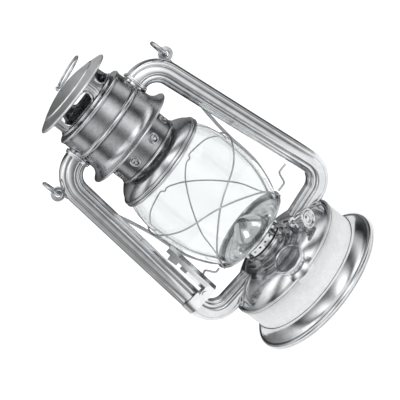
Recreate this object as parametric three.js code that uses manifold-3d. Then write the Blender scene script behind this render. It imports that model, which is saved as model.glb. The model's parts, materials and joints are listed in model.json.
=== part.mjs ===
// A tubular barn lantern: fount, burner, globe in a wire guard, hood, two air tubes and a bail.
// Millimetres, +Z up. The origin is on the floor under the lantern's axis, and the filler faces -Y.
import * as THREE from 'three';
import { mergeVertices } from 'three/addons/utils/BufferGeometryUtils.js';
import Module from 'manifold-3d';

const wasm = await Module();
wasm.setup();

// ---- Driving dimensions -------------------------------------------------------------------
const GAP = 0.3; // between pieces that touch
const SHEET = 0.8; // sheet steel of the stampings
const ROUND = 28; // sides of the large round pieces
const SMALL_ROUND = 18;

// Fount
const FOOT_FLARE = 9.8; // how far the foot stands out beyond the fount
const FOOT_BEAD = 1.9; // radius of the rolled edge it stands on
const FOOT_HEIGHT = 12.6;
const FOUNT_RADIUS = 50.2;
const BAND_HEIGHT = 21.4;
const DOME_RISE = 13;
const DOME_BULGE = 4; // how far the dome stands out from a straight cone
const DOME_HOLE_RADIUS = 20.5;
const TANK_TOP_DROP = 4; // tank top below the rolled seam

// Filler
const FILLER_INSET = 8.6; // filler's axis inside the dome's edge
const FILLER_TILT = 18; // degrees outward
const FILLER_NECK_RADIUS = 6.6;
const FILLER_BOSS_RADIUS = 14.6;
const CAP_SKIRT_RADIUS = 8.2;
const CAP_FACE_RADIUS = 11.5;
const CAP_HEIGHT = 5;
const FILLER_SINK = 2; // filler's base below the dome's outside

// Burner
const COLLAR_RADIUS = 16.8;
const COLLAR_HEIGHT = 6;
const WICK_WELL_RADIUS = 8.6; // hole under the burner, round the wick tube
const GASKET_THICKNESS = 0.8;
const GALLERY_STEP = 0.5; // gallery beyond the collar
const GALLERY_HEIGHT = 5.2;
const GALLERY_HOLES = 12;
const GALLERY_HOLE_RADIUS = 1.2;
const CONE_STEP = 2.9; // cone's skirt inside the gallery's wall
const CONE_HEIGHT = 18.5;
const FLAME_SLOT = { length: 17, width: 4.8 };
const WICK = { width: 12, thickness: 1.6 };
const WICK_TUBE_WALL = 0.8;
const WICK_CLEARANCE = 0.4;
const WICK_LENGTH = 59;
const WICK_TUBE_RISE = 14.6; // wick tube above the gallery
const WICK_TUBE_DROP = 6; // wick tube below the tank's top
const WICK_SHOWS = 1.2; // wick above its tube
const SHAFT_AZIMUTH = -54; // degrees from +X
const SHAFT_SLOPE = 12; // degrees down and outward
const SHAFT_RADIUS = 1.1;
const SHAFT_OFFSET = 4.6; // shaft beside the wick's middle plane
const STAR_RADIUS = 3.2;
const STAR_TEETH = 8;
const STAR_SPACING = 3; // each side of the wick's centre
const SHAFT_BOSS_RADIUS = 3.6;
const SHAFT_BOSS_LENGTH = 8.5;
const KNOB_RADIUS = 7.2;
const KNOB_THICKNESS = 4;
const KNOB_INSET = 2.1; // knob's outer face inside the dome's edge

// Globe and its carriage
const PLATE_RADIUS = 34;
const PLATE_DISH = 5.8; // seat above the plate's inner edge
const GLOBE_HEIGHT = 85;
const GLOBE_RADIUS = 42.8;
const GLOBE_FOOT_RADIUS = 31.2;
const GLOBE_TOP_RADIUS = 34.6;
const GLOBE_TO_TUBE = 4; // clear space between the glass and a side tube
const GLASS = 1.7;
const GUARD_WIRE = 0.6; // radius
const GUARD_STANDOFF = 0.9; // glass to the inner wire
const LIFT_WIRE = 0.8; // radius
const GLOBE_LIFT = 9; // travel of the plate

// Bell, chimney and hood
const BELL_HEIGHT = 12.5;
const BELL_RIM_DROP = 3.2; // lower rim bead below the globe's top
const BELL_RIM_STEP = 2.9; // rim beyond the globe's top radius
const BELL_BEAD = 0.9; // radius of each of the two rim beads
const NECK_STEP = 2; // neck beyond the chimney
const NECK_HEIGHT = 19;
const CHIMNEY_RADIUS = 24.4;
const HOOD_RADIUS = 31.4;
const HOOD_HEIGHT = 36.4;
const HOOD_LIP_FLARE = 7; // drip edge beyond the hood
const HOOD_TO_BEND = 3.2; // hood's side to the start of a tube's bend, at least
const HOOD_STANDOFF = 16.9; // bell's top to the hood's lip
const SPRING_WIRE = 0.5; // radius
const SPRING_TURNS = 6;
const CROWN_STEP = 0.6; // crown beyond the chimney
const CROWN_HEIGHT = 14.8;
const CROWN_SLOTS = 4;
const CROWN_SLOT = { width: 62, height: 8.2, rise: 2.4, phase: -17 }; // width and phase in degrees
const CAP_BRIM = 8.7; // cap's rim beyond the crown
const CAP_RISE = 7.8; // rim to the middle of the cap
const RING_RADIUS = 12.6; // lift ring, centre line
const RING_WIRE = 0.8; // radius
const RING_TILT = 7; // degrees above level at rest
const STAPLE_OFFSET = -3;

// Side tubes, ears and bail
const TUBE_RADIUS = 8.3;
const TUBE_TILT = 6.7; // degrees from upright
const TUBE_TOP_BEND = 17.5; // bend radii, centre line
const TUBE_FOOT_BEND = 16.5;
const TUBE_FOOT_SLOPE = 5; // degrees down into the dome
const TUBE_BELOW_HOOD_TOP = 16.2; // hood's top to the tube's centre line
const TUBE_FOOT_RISE = 2.6; // seam to the tube's underside at its foot
const TUBE_TO_FOUNT = 6.6; // clear space between the fount's band and a side tube, at least
const TUBE_REACH = 24; // foot bend's end to the tube's end inside the dome
const EAR_RADIUS = 5.3;
const EAR_THICKNESS = 1.4;
const EAR_STANDOFF = 3.2; // ear's centre from the tube's skin
const EAR_ANGLE = 25; // degrees up from level, about the top bend's centre
const EAR_HOLE_RADIUS = 2.4;
const BAIL_WIRE = 1.3; // radius
const BAIL_EYE_RADIUS = 6;
const BAIL_CLEARANCE = 3.36; // bail's middle above the dome's top when it hangs down
const BAIL_LEAN = 0.165; // how far it leans back for each millimetre down

// Lift lever on the left tube
const LEVER_HEIGHT = 46;
const LEVER_PIN_RADIUS = 1.3;
const LEVER_FOOT = 9.5;
const BRACKET_SHEET = 0.9;
const BRACKET_HEIGHT = 9;
const LEAF_SHEET = 0.6;
const LEAF_WIDTH = 2.8;

// ---- Radii and heights that follow ---------------------------------------------------------
const footRadius = FOUNT_RADIUS + FOOT_FLARE;
const galleryRadius = COLLAR_RADIUS + GALLERY_STEP;
const coneRadius = galleryRadius - CONE_STEP;
const neckRadius = CHIMNEY_RADIUS + NECK_STEP;
const crownRadius = CHIMNEY_RADIUS + CROWN_STEP;
const capRadius = crownRadius + CAP_BRIM;
const hoodLipRadius = HOOD_RADIUS + HOOD_LIP_FLARE;
const seamZ = FOOT_HEIGHT + BAND_HEIGHT;
const tankTopZ = seamZ - TANK_TOP_DROP;
const domeTopZ = seamZ + DOME_RISE;
const collarTopZ = domeTopZ + COLLAR_HEIGHT;
const galleryZ = collarTopZ + GASKET_THICKNESS + 2 * GAP;
const galleryTopZ = galleryZ + GALLERY_HEIGHT;
const plateZ = galleryTopZ + 2 * GAP;
const seatZ = plateZ + PLATE_DISH;
const globeZ = seatZ + GAP;
const globeTopZ = globeZ + GLOBE_HEIGHT;
const bellRimZ = globeTopZ - BELL_RIM_DROP;
const bellTopZ = bellRimZ - 0.3 + BELL_HEIGHT;
const neckTopZ = bellTopZ + GAP + NECK_HEIGHT;
const hoodLipZ = bellTopZ + HOOD_STANDOFF;
const hoodTopZ = hoodLipZ + HOOD_HEIGHT;
const crownZ = hoodTopZ + 0.8;
const crownTopZ = crownZ + CROWN_HEIGHT;
const capRimZ = crownTopZ - 2.2;
const capTopZ = capRimZ + CAP_RISE;
const tubeTopZ = hoodTopZ - TUBE_BELOW_HOOD_TOP;

// ---- Materials ------------------------------------------------------------------------------
function metal(color, roughness) {
  return new THREE.MeshStandardMaterial({ color, roughness, metalness: 1 });
}
const brightSteel = metal(0xc9cbcc, 0.28);
const satinSteel = metal(0xb4b6b7, 0.45);
const darkSteel = metal(0x8b8d8f, 0.4);
const glassFinish = new THREE.MeshStandardMaterial({
  color: 0xf2f6f6, roughness: 0.05, metalness: 0, transparent: true, opacity: 0.3,
});
const cottonFinish = new THREE.MeshStandardMaterial({ color: 0xe8e2d2, roughness: 0.95 });
const rubberFinish = new THREE.MeshStandardMaterial({ color: 0x3a3733, roughness: 0.85 });

// ---- Small tools ------------------------------------------------------------------------------
const rad = THREE.MathUtils.degToRad;
const Z_AXIS = new THREE.Vector3(0, 0, 1);

function v(x, y, z) {
  return new THREE.Vector3(x, y, z);
}

// Keeps positions only, shared, with the faces turned outward.
function tidy(source) {
  const bare = source.index ? source.toNonIndexed() : source.clone();
  bare.deleteAttribute('normal');
  bare.deleteAttribute('uv');
  const merged = mergeVertices(bare, 1e-4);
  const old = merged.index.array;
  const p = merged.attributes.position;
  const kept = [];
  const a = new THREE.Vector3();
  const b = new THREE.Vector3();
  const c = new THREE.Vector3();
  let volume = 0;
  for (let i = 0; i < old.length; i += 3) {
    const [ia, ib, ic] = [old[i], old[i + 1], old[i + 2]];
    if (ia === ib || ib === ic || ia === ic) continue;
    kept.push(ia, ib, ic);
    a.fromBufferAttribute(p, ia);
    b.fromBufferAttribute(p, ib);
    c.fromBufferAttribute(p, ic);
    volume += a.dot(b.cross(c));
  }
  if (volume < 0) kept.reverse();
  merged.setIndex(kept);
  return merged;
}

function toSolid(geometry) {
  const g = tidy(geometry);
  return new wasm.Manifold(new wasm.Mesh({
    numProp: 3,
    vertProperties: new Float32Array(g.attributes.position.array),
    triVerts: new Uint32Array(g.index.array),
  }));
}

function fromSolid(solid) {
  const mesh = solid.getMesh();
  const geometry = new THREE.BufferGeometry();
  geometry.setAttribute('position', new THREE.BufferAttribute(new Float32Array(mesh.vertProperties), 3));
  geometry.setIndex(new THREE.BufferAttribute(new Uint32Array(mesh.triVerts), 1));
  return geometry;
}

function joined(...geometries) {
  return fromSolid(geometries.map(toSolid).reduce((all, one) => all.add(one)));
}

function cut(geometry, ...tools) {
  return fromSolid(tools.map(toSolid).reduce((left, tool) => left.subtract(tool), toSolid(geometry)));
}

function common(geometry, other) {
  return fromSolid(toSolid(geometry).intersect(toSolid(other)));
}

// A profile of [radius, height] points turned about +Z. It starts and ends on the axis or closes.
function turned(points, segments = ROUND) {
  const profile = points.map(([r, z]) => new THREE.Vector2(r, z));
  return new THREE.LatheGeometry(profile, segments).rotateX(Math.PI / 2);
}

function disc(radius, low, high, segments = SMALL_ROUND) {
  return turned([[0, low], [radius, low], [radius, high], [0, high]], segments);
}

function ring(inner, outer, low, high, segments = ROUND) {
  return turned([[inner, low], [outer, low], [outer, high], [inner, high], [inner, low]], segments);
}

// A sheet of even thickness under an open profile, on the side to the profile's right.
function sheetProfile(outer, thickness = SHEET) {
  const inner = outer.map(([r, z], i) => {
    const [r0, z0] = outer[Math.max(i - 1, 0)];
    const [r1, z1] = outer[Math.min(i + 1, outer.length - 1)];
    const length = Math.hypot(r1 - r0, z1 - z0);
    return [r + ((z1 - z0) / length) * thickness, z - ((r1 - r0) / length) * thickness];
  });
  return [...outer, ...inner.reverse(), outer[0]];
}

function arcPoints(cx, cz, radius, from, to, steps) {
  return Array.from({ length: steps + 1 }, (_, i) => {
    const angle = from + ((to - from) * i) / steps;
    return [cx + radius * Math.cos(angle), cz + radius * Math.sin(angle)];
  });
}

function smoothProfile(points, count) {
  const curve = new THREE.CatmullRomCurve3(points.map(([r, z]) => v(r, 0, z)), false, 'centripetal');
  return curve.getPoints(count).map((p) => [p.x, p.z]);
}

function circleShape(radius, sides) {
  const points = Array.from({ length: sides }, (_, i) => {
    const angle = (2 * Math.PI * i) / sides;
    return new THREE.Vector2(radius * Math.cos(angle), radius * Math.sin(angle));
  });
  return new THREE.Shape(points);
}

function along(curve, shape, steps) {
  return new THREE.ExtrudeGeometry(shape, { steps, extrudePath: curve, bevelEnabled: false });
}

function wire(curve, radius, steps, sides = 6) {
  return along(curve, circleShape(radius, sides), steps);
}

function plate(shape, depth) {
  return new THREE.ExtrudeGeometry(shape, { depth, bevelEnabled: false, curveSegments: 10 });
}

// A straight cylinder between two points.
function rod(from, to, radius, sides = 12) {
  const length = from.distanceTo(to);
  const turn = new THREE.Quaternion().setFromUnitVectors(Z_AXIS, to.clone().sub(from).normalize());
  return disc(radius, 0, length, sides).applyQuaternion(turn).translate(from.x, from.y, from.z);
}

function torus(radius, wireRadius, sides, steps) {
  return new THREE.TorusGeometry(radius, wireRadius, sides, steps);
}

const lantern = new THREE.Group();

function add(name, geometry, material, parent = lantern) {
  const mesh = new THREE.Mesh(tidy(geometry), material);
  mesh.name = name;
  parent.add(mesh);
  return mesh;
}

// ---- Fount ------------------------------------------------------------------------------------
// The dome's outside is one arc from the seam to the collar, bulged out from a straight line.
const domeEdge = FOUNT_RADIUS - 1.6;
const domeChord = Math.hypot(domeEdge - DOME_HOLE_RADIUS, DOME_RISE);
const domeArcRadius = (domeChord ** 2) / (8 * DOME_BULGE) + DOME_BULGE / 2;
const domeChordAngle = Math.atan2(DOME_RISE, domeEdge - DOME_HOLE_RADIUS);
const domeCentre = [
  (domeEdge + DOME_HOLE_RADIUS) / 2 - (domeArcRadius - DOME_BULGE) * Math.sin(domeChordAngle),
  (seamZ + domeTopZ) / 2 - (domeArcRadius - DOME_BULGE) * Math.cos(domeChordAngle),
];

const DOME_STEPS = 5;

function domeArc(offset, steps) {
  const half = Math.asin(domeChord / 2 / domeArcRadius);
  const middle = Math.PI / 2 - domeChordAngle;
  return arcPoints(...domeCentre, domeArcRadius + offset, middle - half, middle + half, steps);
}

// Height of the dome's outside at a distance from the axis.
function domeHeight(radius) {
  return domeCentre[1] + Math.sqrt(domeArcRadius ** 2 - (radius - domeCentre[0]) ** 2);
}

// Everything below the dome's outside raised by an offset, to trim what stands on it.
function underDome(offset) {
  const arc = domeArc(offset, DOME_STEPS);
  const [edgeRadius] = arc[0];
  const [topRadius, topZ] = arc[arc.length - 1];
  return turned([[0, 0], [edgeRadius + 6, 0], [edgeRadius + 6, seamZ], ...arc, [topRadius - 2, topZ],
    [0, topZ]]);
}

function footRing() {
  const beadCentre = [footRadius - FOOT_BEAD, FOOT_BEAD];
  const bead = arcPoints(...beadCentre, FOOT_BEAD, -Math.PI / 2, Math.PI / 2, 4);
  const flare = [
    [footRadius - 2.6, 2 * FOOT_BEAD],
    [FOUNT_RADIUS + 0.43 * FOOT_FLARE, 6.8],
    [FOUNT_RADIUS + 0.14 * FOOT_FLARE, 10],
    [FOUNT_RADIUS + 0.4, FOOT_HEIGHT],
  ];
  const outside = [...bead, ...flare];
  const inside = flare.map(([r, z]) => [r - 1.4, z]).reverse();
  return turned([...outside, ...inside, [footRadius - 4.4, FOOT_BEAD], [footRadius - 3.4, 0], outside[0]]);
}

function fountBand() {
  const r = FOUNT_RADIUS;
  const low = FOOT_HEIGHT + GAP;
  return turned(sheetProfile([
    [r - 1, seamZ + 0.4], [r, seamZ], [r + 0.4, seamZ - 1.4], [r, seamZ - 2.8], [r, low],
  ]));
}

function tankBottom() {
  const r = FOUNT_RADIUS - SHEET - GAP;
  const z = FOOT_HEIGHT - 3;
  return turned([
    [0, z + 2.2], [14, z + 2.2], [20, z], [r, z], [r, z + 5], [r - SHEET, z + 5], [r - SHEET, z + SHEET],
    [20.4, z + SHEET], [14.4, z + 2.2 + SHEET], [0, z + 2.2 + SHEET],
  ]);
}

const fillerReach = domeEdge - FILLER_INSET;
const filler = new THREE.Group();
const fillerBase = v(0, -fillerReach, domeHeight(fillerReach) - FILLER_SINK);
filler.position.copy(fillerBase);
filler.rotation.x = rad(FILLER_TILT);
filler.updateMatrixWorld(true);
lantern.add(filler);

// Geometry made in the filler's own frame, moved to the lantern's.
function atFiller(geometry) {
  return geometry.applyMatrix4(filler.matrixWorld);
}

function inFiller(geometry) {
  return geometry.applyMatrix4(filler.matrixWorld.clone().invert());
}

function sideSign(side) {
  return side === 'left' ? -1 : 1;
}

// The side tube's centre line in the XZ plane, from inside the hood down to the dome.
const tubeDown = -Math.PI / 2 + rad(TUBE_TILT);
const tubeIn = -Math.PI + rad(TUBE_FOOT_SLOPE);
const tubeStartX = HOOD_RADIUS - 1.8;
const tubeFootZ = seamZ + TUBE_FOOT_RISE + TUBE_RADIUS;

function bendShift(radius, from, to) {
  return [-radius * (Math.sin(to) - Math.sin(from)), radius * (Math.cos(to) - Math.cos(from))];
}

// The top bend starts outside the hood, and far enough out for the leg to clear globe and fount.
const [topBendX, topBendZ] = bendShift(TUBE_TOP_BEND, 0, tubeDown);
const [, footBendZ] = bendShift(TUBE_FOOT_BEND, tubeDown, tubeIn);
const slantRadius = TUBE_RADIUS / Math.cos(rad(TUBE_TILT));

// Where the top bend starts for the leg's centre line to be at this distance from the axis there.
function bendStartFor(x, z) {
  return x - topBendX - (tubeTopZ + topBendZ - z) * Math.tan(rad(TUBE_TILT));
}

const tubeBendX = Math.max(
  HOOD_RADIUS + HOOD_TO_BEND,
  bendStartFor(GLOBE_RADIUS + GLOBE_TO_TUBE + slantRadius, globeZ + 0.55 * GLOBE_HEIGHT),
  bendStartFor(FOUNT_RADIUS + TUBE_TO_FOUNT + slantRadius, tubeFootZ - footBendZ),
);

class TubePath extends THREE.CurvePath {
  constructor(side, reach) {
    super();
    const s = sideSign(side);
    const at = (x, z) => v(s * x, 0, z);
    const [footX, footZ] = bendShift(TUBE_FOOT_BEND, tubeDown, tubeIn);
    const legTop = [tubeBendX + topBendX, tubeTopZ + topBendZ];
    const legFootZ = tubeFootZ - footZ;
    const legFoot = [legTop[0] + (legTop[1] - legFootZ) * Math.tan(rad(TUBE_TILT)), legFootZ];
    const footEnd = [legFoot[0] + footX, tubeFootZ];
    this.legTop = legTop;
    this.legFoot = legFoot;
    this.add(new THREE.LineCurve3(at(tubeStartX, tubeTopZ), at(tubeBendX, tubeTopZ)));
    this.addBend(at, [tubeBendX, tubeTopZ], TUBE_TOP_BEND, 0, tubeDown);
    this.add(new THREE.LineCurve3(at(...legTop), at(...legFoot)));
    this.addBend(at, legFoot, TUBE_FOOT_BEND, tubeDown, tubeIn);
    const drop = reach * Math.tan(rad(TUBE_FOOT_SLOPE));
    this.add(new THREE.LineCurve3(at(...footEnd), at(footEnd[0] - reach, tubeFootZ - drop)));
  }

  addBend(at, start, radius, from, to, steps = 5) {
    let last = start;
    for (let i = 1; i <= steps; i += 1) {
      const [dx, dz] = bendShift(radius, from, from + ((to - from) * i) / steps);
      const next = [start[0] + dx, start[1] + dz];
      this.add(new THREE.LineCurve3(at(...last), at(...next)));
      last = next;
    }
  }
}

// Runs through a path's corners only, so that straight stretches stay plain.
class CornerPath extends THREE.Curve {
  constructor(path) {
    super();
    this.corners = [path.curves[0].v1, ...path.curves.map((c) => c.v2)];
    this.steps = this.corners.length - 1;
  }

  getPointAt(t) {
    const x = t * this.steps;
    const i = Math.min(Math.floor(x + 1e-6), this.steps - 1);
    return this.corners[i].clone().lerp(this.corners[i + 1], Math.min(x - i, 1));
  }

  // Halfway between the directions of the stretches that meet at the corner.
  getTangentAt(t) {
    const i = Math.round(t * this.steps);
    const here = this.corners[i];
    const incoming = i > 0 ? here.clone().sub(this.corners[i - 1]).normalize() : v(0, 0, 0);
    const outgoing = i < this.steps ? this.corners[i + 1].clone().sub(here).normalize() : v(0, 0, 0);
    return incoming.add(outgoing).normalize();
  }
}

const tubePaths = { left: new TubePath('left', TUBE_REACH), right: new TubePath('right', TUBE_REACH) };

function tubeSolid(side, radius, sides = 12) {
  const curve = new CornerPath(tubePaths[side]);
  return along(curve, circleShape(radius, sides), curve.steps);
}

function sideTube(side) {
  const bore = TUBE_RADIUS - SHEET;
  const shape = circleShape(TUBE_RADIUS, 12);
  shape.holes.push(new THREE.Path(circleShape(bore, 8).getPoints().reverse()));
  const curve = new CornerPath(tubePaths[side]);
  return cut(along(curve, shape, curve.steps), underDome(GAP));
}

function tubeFlange(side) {
  const foot = tubePaths[side].curves.at(-1);
  const beyond = foot.v2.clone().sub(foot.v1).normalize().multiplyScalar(4);
  const outside = rod(foot.v1, foot.v2, TUBE_RADIUS + 1.6);
  const hole = rod(foot.v1.clone().sub(beyond), foot.v2.clone().add(beyond), TUBE_RADIUS + GAP);
  const inFount = disc(domeEdge - GAP, 0, crownZ, ROUND);
  return cut(common(common(outside, underDome(GAP + 1)), inFount), hole, underDome(GAP));
}

function airHole(side) {
  const s = sideSign(side);
  const z = tubeFootZ - 1.4;
  return rod(v(s * 50, 0, z + 1), v(s * 20, 0, z - 1), 5.5, 12);
}

function fountDome() {
  const skin = turned(sheetProfile(domeArc(0, DOME_STEPS).reverse()));
  const fillerHole = atFiller(disc(CAP_SKIRT_RADIUS + 0.9, -12, 14, 24));
  return cut(skin, fillerHole, airHole('left'), airHole('right'));
}

function tankTop() {
  const r = FOUNT_RADIUS - SHEET - GAP;
  const neckHole = atFiller(disc(FILLER_NECK_RADIUS + GAP, -26, 0, 24));
  return cut(ring(WICK_WELL_RADIUS, r, tankTopZ, tankTopZ + SHEET), neckHole);
}

function fillerBoss() {
  const r = FILLER_BOSS_RADIUS;
  const body = atFiller(turned([
    [FILLER_NECK_RADIUS + GAP, -8], [r, -8], [r, -1], [r - 1.2, 0], [FILLER_NECK_RADIUS + GAP, 0],
    [FILLER_NECK_RADIUS + GAP, -8],
  ], SMALL_ROUND));
  const inFount = disc(domeEdge - GAP, 0, crownZ, ROUND);
  return inFiller(common(cut(body, underDome(GAP)), inFount));
}

function fillerNeck() {
  const r = FILLER_NECK_RADIUS;
  return ring(r - 1, r, -14, gasketZ - GAP, SMALL_ROUND);
}

function fillerCap() {
  const low = 1.2;
  const face = low + CAP_HEIGHT;
  const bore = FILLER_NECK_RADIUS + GAP;
  return turned([
    [bore, low], [CAP_SKIRT_RADIUS, low], [CAP_SKIRT_RADIUS + 0.3, face - 2], [CAP_FACE_RADIUS, face - 1.8],
    [CAP_FACE_RADIUS, face], [CAP_FACE_RADIUS - 1, face + 0.2], [CAP_FACE_RADIUS - 1.6, face - 0.3],
    [0, face - 0.3], [0, face - 1.2], [bore, face - 1.2], [bore, low],
  ], 24);
}

const gasketTop = CAP_HEIGHT - GAP;
const gasketZ = gasketTop - 0.9;

function capGasket() {
  return ring(FILLER_NECK_RADIUS - 3.4, FILLER_NECK_RADIUS + 0.1, gasketZ, gasketTop, SMALL_ROUND);
}

// ---- Burner -----------------------------------------------------------------------------------
const burner = new THREE.Group();
burner.rotation.z = rad(SHAFT_AZIMUTH);
burner.updateMatrixWorld(true);
lantern.add(burner);

function inBurner(geometry) {
  return geometry.applyMatrix4(burner.matrixWorld.clone().invert());
}

const knobReach = domeEdge - KNOB_INSET;
const shaftDrop = Math.tan(rad(SHAFT_SLOPE));
const shaftZ = galleryZ + 0.7 + galleryRadius * shaftDrop; // where it crosses the wick's middle

function onShaft(reach) {
  return v(reach, SHAFT_OFFSET, shaftZ - reach * shaftDrop);
}

function burnerCollar() {
  const z = domeTopZ;
  const r = COLLAR_RADIUS;
  return turned([
    [r - 1, z - 1.5], [r + 1.4, z + 0.4], [r + 5.2, z - 0.1 + GAP], [r + 5.2, z + 0.6 + GAP],
    [r + 2, z + 1.6],
    [r + 0.4, z + 3], [r, z + 4.6], [r + 0.9, collarTopZ - 0.6], [r + 0.6, collarTopZ], [r - 1, collarTopZ],
    [r - 1, z - 1.5],
  ]);
}

function burnerBody() {
  const r = COLLAR_RADIUS - 1 - GAP;
  return ring(WICK_WELL_RADIUS, r, domeTopZ - 3, collarTopZ, 32);
}

function burnerGasket() {
  const low = collarTopZ + GAP;
  return ring(COLLAR_RADIUS - 1, galleryRadius - 0.1, low, low + GASKET_THICKNESS);
}

function burnerGallery() {
  const r = galleryRadius;
  const body = turned([
    [r - 0.7, galleryZ], [r, galleryZ], [r, galleryTopZ], [9, galleryTopZ], [9, galleryTopZ - 0.7],
    [r - 0.7, galleryTopZ - 0.7], [r - 0.7, galleryZ],
  ]);
  const holes = Array.from({ length: GALLERY_HOLES }, (_, i) => {
    const angle = (2 * Math.PI * (i + 0.5)) / GALLERY_HOLES;
    const out = v(Math.cos(angle), Math.sin(angle), 0);
    const middle = galleryZ + GALLERY_HEIGHT / 2;
    const near = out.clone().multiplyScalar(r - 3).setZ(middle);
    const far = out.clone().multiplyScalar(r + 3).setZ(middle);
    return rod(near, far, GALLERY_HOLE_RADIUS, 6);
  });
  const shaftHole = rod(onShaft(r - 5), onShaft(r + 5), SHAFT_RADIUS + GAP, 12);
  return cut(body, ...holes, shaftHole);
}

function burnerCone() {
  const low = galleryTopZ + GAP;
  const outside = [
    [coneRadius + 1.6, low], [coneRadius, low + 1], [coneRadius - 0.6, low + 5],
    [coneRadius - 2.6, low + 9.6],
    [coneRadius - 6.4, low + 13.8], [coneRadius - 10.4, low + CONE_HEIGHT - 1.2], [0, low + CONE_HEIGHT],
  ];
  const inside = outside.slice(0, -1).map(([r, z], i) => [r - 0.9, z - (i > 2 ? 0.7 : 0)]).reverse();
  const shell = turned([...outside, [0, low + CONE_HEIGHT - 0.9], ...inside.slice(0, -1),
    [coneRadius - 0.6, low], outside[0]]);
  const slot = new THREE.BoxGeometry(FLAME_SLOT.length, FLAME_SLOT.width, 12).translate(0, 0,
    low + CONE_HEIGHT);
  return cut(shell, slot);
}

const wickTopZ = galleryTopZ + WICK_TUBE_RISE + WICK_SHOWS;

function roundedBar(width, thickness, low, high) {
  const r = thickness / 2 - 0.01;
  const shape = new THREE.Shape();
  shape.absarc(width / 2 - r, 0, r, -Math.PI / 2, Math.PI / 2);
  shape.absarc(-width / 2 + r, 0, r, Math.PI / 2, (3 * Math.PI) / 2);
  return new THREE.ExtrudeGeometry(shape, { depth: high - low, bevelEnabled: false, curveSegments: 6 })
    .translate(0, 0, low);
}

function wick() {
  return roundedBar(WICK.width, WICK.thickness, wickTopZ - WICK_LENGTH, wickTopZ);
}

function wickTube() {
  const inner = { w: WICK.width + 2 * WICK_CLEARANCE, t: WICK.thickness + 2 * WICK_CLEARANCE };
  const low = tankTopZ - WICK_TUBE_DROP;
  const high = wickTopZ - WICK_SHOWS;
  const outerBar = roundedBar(inner.w + 2 * WICK_TUBE_WALL, inner.t + 2 * WICK_TUBE_WALL, low, high);
  const bore = roundedBar(inner.w, inner.t, low - 1, high + 1);
  const windows = [-1, 1].map((s) => new THREE.BoxGeometry(2.4, 2.4, 2 * STAR_RADIUS + 1.6)
    .translate(s * STAR_SPACING, inner.t / 2 + WICK_TUBE_WALL + 0.2, onShaft(s * STAR_SPACING).z));
  return cut(outerBar, bore, ...windows);
}

function starWheel(reach) {
  const shape = new THREE.Shape();
  for (let i = 0; i < 2 * STAR_TEETH; i += 1) {
    const r = i % 2 ? STAR_RADIUS : STAR_RADIUS - 0.8;
    const angle = (Math.PI * (i + 0.5)) / STAR_TEETH;
    if (i === 0) shape.moveTo(r * Math.cos(angle), r * Math.sin(angle));
    else shape.lineTo(r * Math.cos(angle), r * Math.sin(angle));
  }
  const middle = onShaft(reach);
  return plate(shape, 1.4).translate(0, 0, -0.7).rotateY(Math.PI / 2).rotateY(rad(SHAFT_SLOPE))
    .translate(middle.x, middle.y, middle.z);
}

function wickShaft() {
  const shaft = rod(onShaft(-5), onShaft(knobReach - KNOB_THICKNESS - 1), SHAFT_RADIUS, 12);
  return joined(shaft, starWheel(-STAR_SPACING), starWheel(STAR_SPACING));
}

function shaftBoss() {
  const near = COLLAR_RADIUS + 7.7;
  const far = near + SHAFT_BOSS_LENGTH;
  const tube = rod(onShaft(near), onShaft(far), SHAFT_BOSS_RADIUS, 20);
  const web = new THREE.BoxGeometry(far - near - 2, 2.6, 12)
    .translate((near + far) / 2, SHAFT_OFFSET, onShaft((near + far) / 2).z - 6);
  const bore = rod(onShaft(near - 3), onShaft(far + 3), SHAFT_RADIUS + 0.6, 12);
  return cut(joined(tube, web), bore, inBurner(underDome(GAP)));
}

function wickKnob() {
  const r = KNOB_RADIUS;
  const t = KNOB_THICKNESS;
  const body = turned([
    [SHAFT_RADIUS + GAP, -t - 2.6], [3, -t - 2.6], [3.4, -t], [r - 1.2, -t], [r, -t + 1], [r, -0.9],
    [r - 0.9, 0],
    [r - 2, -0.4], [2.4, -1.4], [0, -1.2], [0, -t + 1], [SHAFT_RADIUS + GAP, -t + 1],
    [SHAFT_RADIUS + GAP, -t - 2.6],
  ], SMALL_ROUND);
  const out = onShaft(1).sub(onShaft(0)).normalize();
  const turn = new THREE.Quaternion().setFromUnitVectors(Z_AXIS, out);
  const end = onShaft(knobReach - t + 1 - GAP - 1).addScaledVector(out, t);
  return body.applyQuaternion(turn).translate(end.x, end.y, end.z);
}

// ---- Globe and its carriage -----------------------------------------------------------------------
function globePlate() {
  const r = PLATE_RADIUS;
  const inner = galleryRadius + 0.6;
  const outside = [
    [r - 0.2, seatZ + 1.6], [r + 0.2, seatZ + 0.9], [r - 0.2, seatZ - 0.2], [r - 1.6, seatZ - 1],
    [GLOBE_FOOT_RADIUS - 3, seatZ - 2], [inner + 2.4, plateZ + 0.2], [inner, plateZ],
  ];
  const inside = [
    [inner, plateZ + 0.9], [inner + 2.2, plateZ + 1.1], [GLOBE_FOOT_RADIUS - 3.2, seatZ - 1],
    [GLOBE_FOOT_RADIUS - 2.2, seatZ], [r - 1.4, seatZ], [r - 0.9, seatZ + 1.4],
  ];
  return turned([...outside, ...inside, outside[0]]);
}

// The glass swells from its foot to its widest, then draws in to its top. A point is how far it has
// come from the one radius to the other, and its height as a share of the globe's.
const SWELL = [[0, 0], [0.164, 0.05], [0.664, 0.22], [0.914, 0.37], [1, 0.55]];
const DRAW_IN = [[0.061, 0.69], [0.317, 0.83], [0.72, 0.94], [1, 1]];
const globeOutline = [
  ...SWELL.map(([share, up]) => [
    GLOBE_FOOT_RADIUS + share * (GLOBE_RADIUS - GLOBE_FOOT_RADIUS), globeZ + up * GLOBE_HEIGHT,
  ]),
  ...DRAW_IN.map(([share, up]) => [
    GLOBE_RADIUS - share * (GLOBE_RADIUS - GLOBE_TOP_RADIUS), globeZ + up * GLOBE_HEIGHT,
  ]),
];

function globeRadiusAt(z) {
  const points = smoothProfile(globeOutline, 60);
  const above = points.findIndex(([, height]) => height >= z);
  return above < 0 ? GLOBE_TOP_RADIUS : points[above][0];
}

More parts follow.
